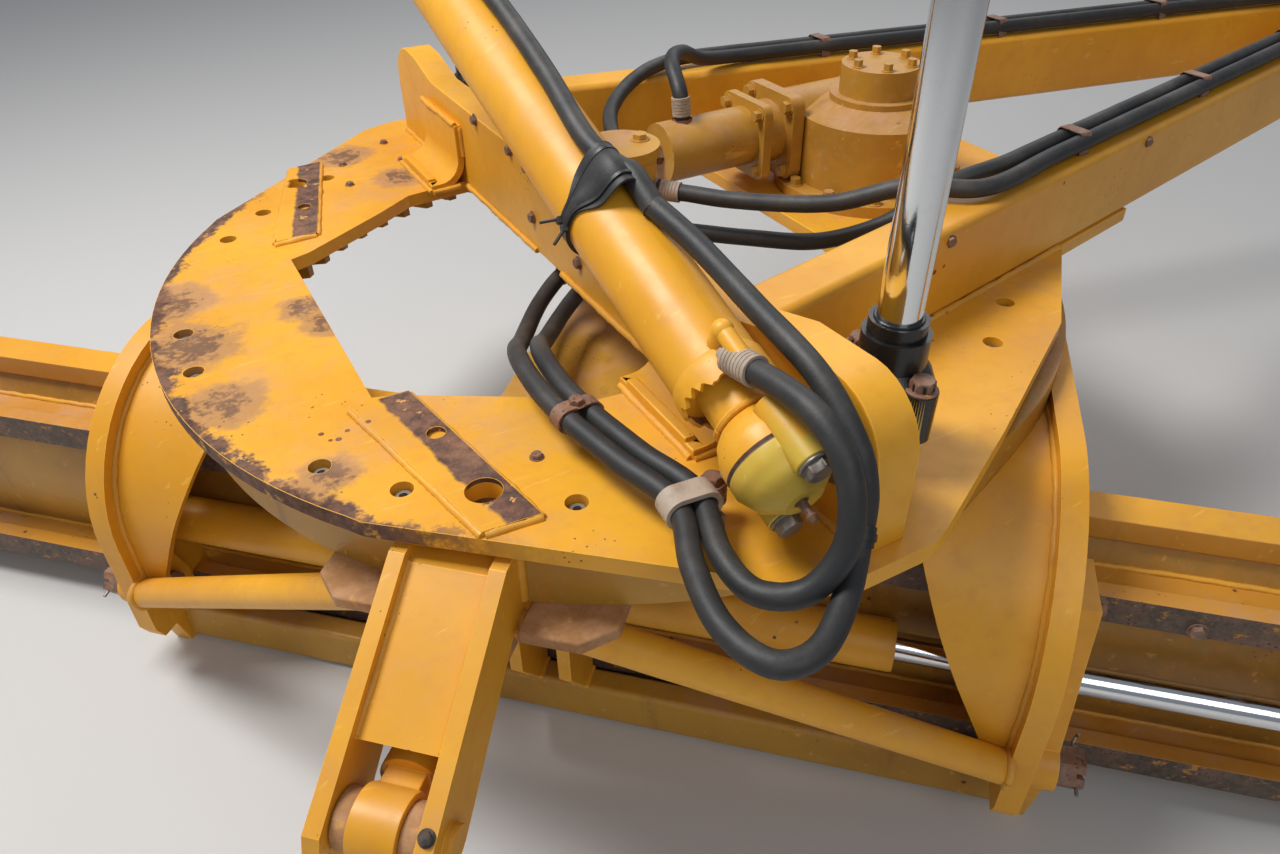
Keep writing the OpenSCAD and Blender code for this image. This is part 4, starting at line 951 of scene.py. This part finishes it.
def closest(path, place):
    """Number of the path's point nearest to a place."""
    return int(np.argmin(np.linalg.norm(path - place, axis=1)))


place = on_plate((-318, -712, 50))
i, j = closest(outer, place), closest(inner, place)
along = outer[i + 2] - outer[i - 2]
clamp = [pair_band(outer[i], inner[j], along, HOSE_R + 0.0006, 0.030, 0.0065)]
top = (outer[i] + inner[j]) / 2 + np.array([0, 0, HOSE_R + 0.001])
piece("post_clamp", clamp, ferrule_coat, "drawbar")
tab = on_plate((-262, -705, 52))
heads = [washer(tab - [0, 0, 0.022], (0, 0, 1), 0.018, 0.026)] + bolt(tab + [0, 0, 0.004], (0, 0, 1), 0.0125)
piece("post_clamp_bolt", heads, rusty, "drawbar")

place = on_plate((-335, -497, 51))
i, j = closest(outer, place), closest(inner, place)
along = outer[i + 2] - outer[i - 2]
clip = [pair_band(outer[i], inner[j], along, HOSE_R + 0.0005, 0.022, 0.003)]
clip += bolt((outer[i] + inner[j]) / 2 + np.array([0, 0, HOSE_R + 0.0015]), (0, 0, 1), 0.010)
piece("small_clamp", clip, rusty, "drawbar")

i = closest(outer, on_plate((-198, -884, 88)))
along = outer[i + 2] - outer[i - 2]
tie = [lathe([(-half, HOSE_R), (-half, HOSE_R + thick), (half, HOSE_R + thick), (half, HOSE_R)],
             outer[i], along) for half, thick in ((0.011, 0.002), (0.004, 0.0036))]
tie_skin = piece("loop_band", tie, plastic, None)
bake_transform(tie_skin)

# The rubber saddle that ties the barrel's hose down: broad over the hose, a narrow strap around the barrel.
t = np.linspace(0, 2 * np.pi, 96, endpoint=False)
from_top = np.angle(np.exp(1j * (t - np.pi / 2)))
hump = np.exp(-(from_top / 0.36)**2)
half = 11 + 27 * np.exp(-(from_top / 0.85)**4)
skirt = []
for s, grow in ((-1.0, 0.6), (-0.98, 3.6), (-0.66, 1.8), (-0.60, 4.2), (0.0, 5.6), (0.60, 4.4), (0.66, 1.8),
                (0.98, 3.4), (1.0, 0.6)):
    r = 57.2 + grow * (1 + 0.04 * np.sin(3 * t) + 0.03 * np.sin(7 * t + 1)) + hump * 29.5
    skirt.append(np.stack([412 + s * half, r * np.cos(t), r * np.sin(t)], -1))
sleeve = net(on_cylinder(np.array(skirt)).reshape(len(skirt), 96, 3), round_v=True)
piece("hose_saddle", sleeve, rubber, "centre_barrel", 60)
ties = []
for s in (-0.63, 0.63):
    rows = []
    for dx, extra in ((-2.4, 2.6), (-2.4, 5.2), (2.4, 5.2), (2.4, 2.6), (-2.4, 2.6)):
        r = 57.2 + extra + hump * 29.5
        rows.append(np.stack([412 + s * half + dx, r * np.cos(t), r * np.sin(t)], -1))
    ties.append(net(on_cylinder(np.array(rows)).reshape(5, 96, 3), round_v=True))
    low, tip = on_cylinder((412 + s * 12, 62, 6)), on_cylinder((412 + s * 34, 84, -6))
    ties.append(tube(np.linspace(low, tip, 5), 0.0022, 8))
    ties.append(hexagon(on_cylinder((412 + s * 12, 61, 4)), CYL[1], 0.006, 0.007, sides=4))
piece("saddle_ties", ties, plastic, "centre_barrel")

# Castellated nuts' cotter pins, washers on the tip cylinder's pin and small fittings.
pins = []
for side in (-1, 1):
    hub = np.array([-555, side * 842, -510])
    pins.append(tube(on_circle([hub + [-44, 0, -6], hub + [-20, 0, -2], hub + [20, 0, 2], hub + [42, 0, 6],
                                hub + [48, side * 4, 14], hub + [46, side * 6, 22]]), 0.0028, 10))
    pins.append(lathe([(0, 0.0), (0, 0.020), (0.006, 0.019), (0.008, 0.0)],
                      on_circle((-555, side * 832, -510)),
                      on_circle((0, side, 0)) - on_circle((0, 0, 0)), 32))
piece("cotter_pins", pins, bolt_steel, "circle")
parts = []
for side in (-1, 1):
    out = on_circle((0, side, 0)) - on_circle((0, 0, 0))
    parts.append(washer(on_circle((-1030, side * 83, -230)), out, 0.0223, 0.004))
piece("tip_pin_ends", parts, yellow, "circle")
edge_up = on_circle((170, 0, 275)) - on_circle((0, 0, 0))
parts = bolt(on_circle((-1052, -65, -190)), edge_up * (-1, -1, 1), 0.0078)
piece("tip_plate_bolts", parts, greasy, "circle")


bpy.ops.mesh.primitive_plane_add(size=60, location=(-2.4, 0, cad_box[0][2]))
floor = bpy.context.object
grey = bpy.data.materials.new("floor")
grey.use_nodes = True
grey.node_tree.nodes["Principled BSDF"].inputs["Base Color"].default_value = (0.60, 0.585, 0.56, 1)
grey.node_tree.nodes["Principled BSDF"].inputs["Roughness"].default_value = 0.8
floor.data.materials.append(grey)
for place, size, power in (((-4.4, 0.9, 3.8), 1.6, 215), ((-3.6, -4.5, 3.2), 3.0, 55),
                           ((1.5, 3.5, 4.0), 4.0, 80)):
    lamp = bpy.data.lights.new("lamp", "AREA")
    lamp.size = size
    lamp.energy = power
    holder = bpy.data.objects.new("lamp", lamp)
    holder.location = place
    holder.rotation_euler = (Vector((-2.6, -0.2, 0)) - Vector(place)).to_track_quat("-Z", "Y").to_euler()
    bpy.context.scene.collection.objects.link(holder)
world = bpy.data.worlds.new("sky")
bpy.context.scene.world = world
world.use_nodes = True
world.node_tree.nodes["Background"].inputs[0].default_value = (0.80, 0.87, 1.0, 1)
world.node_tree.nodes["Background"].inputs[1].default_value = 0.27
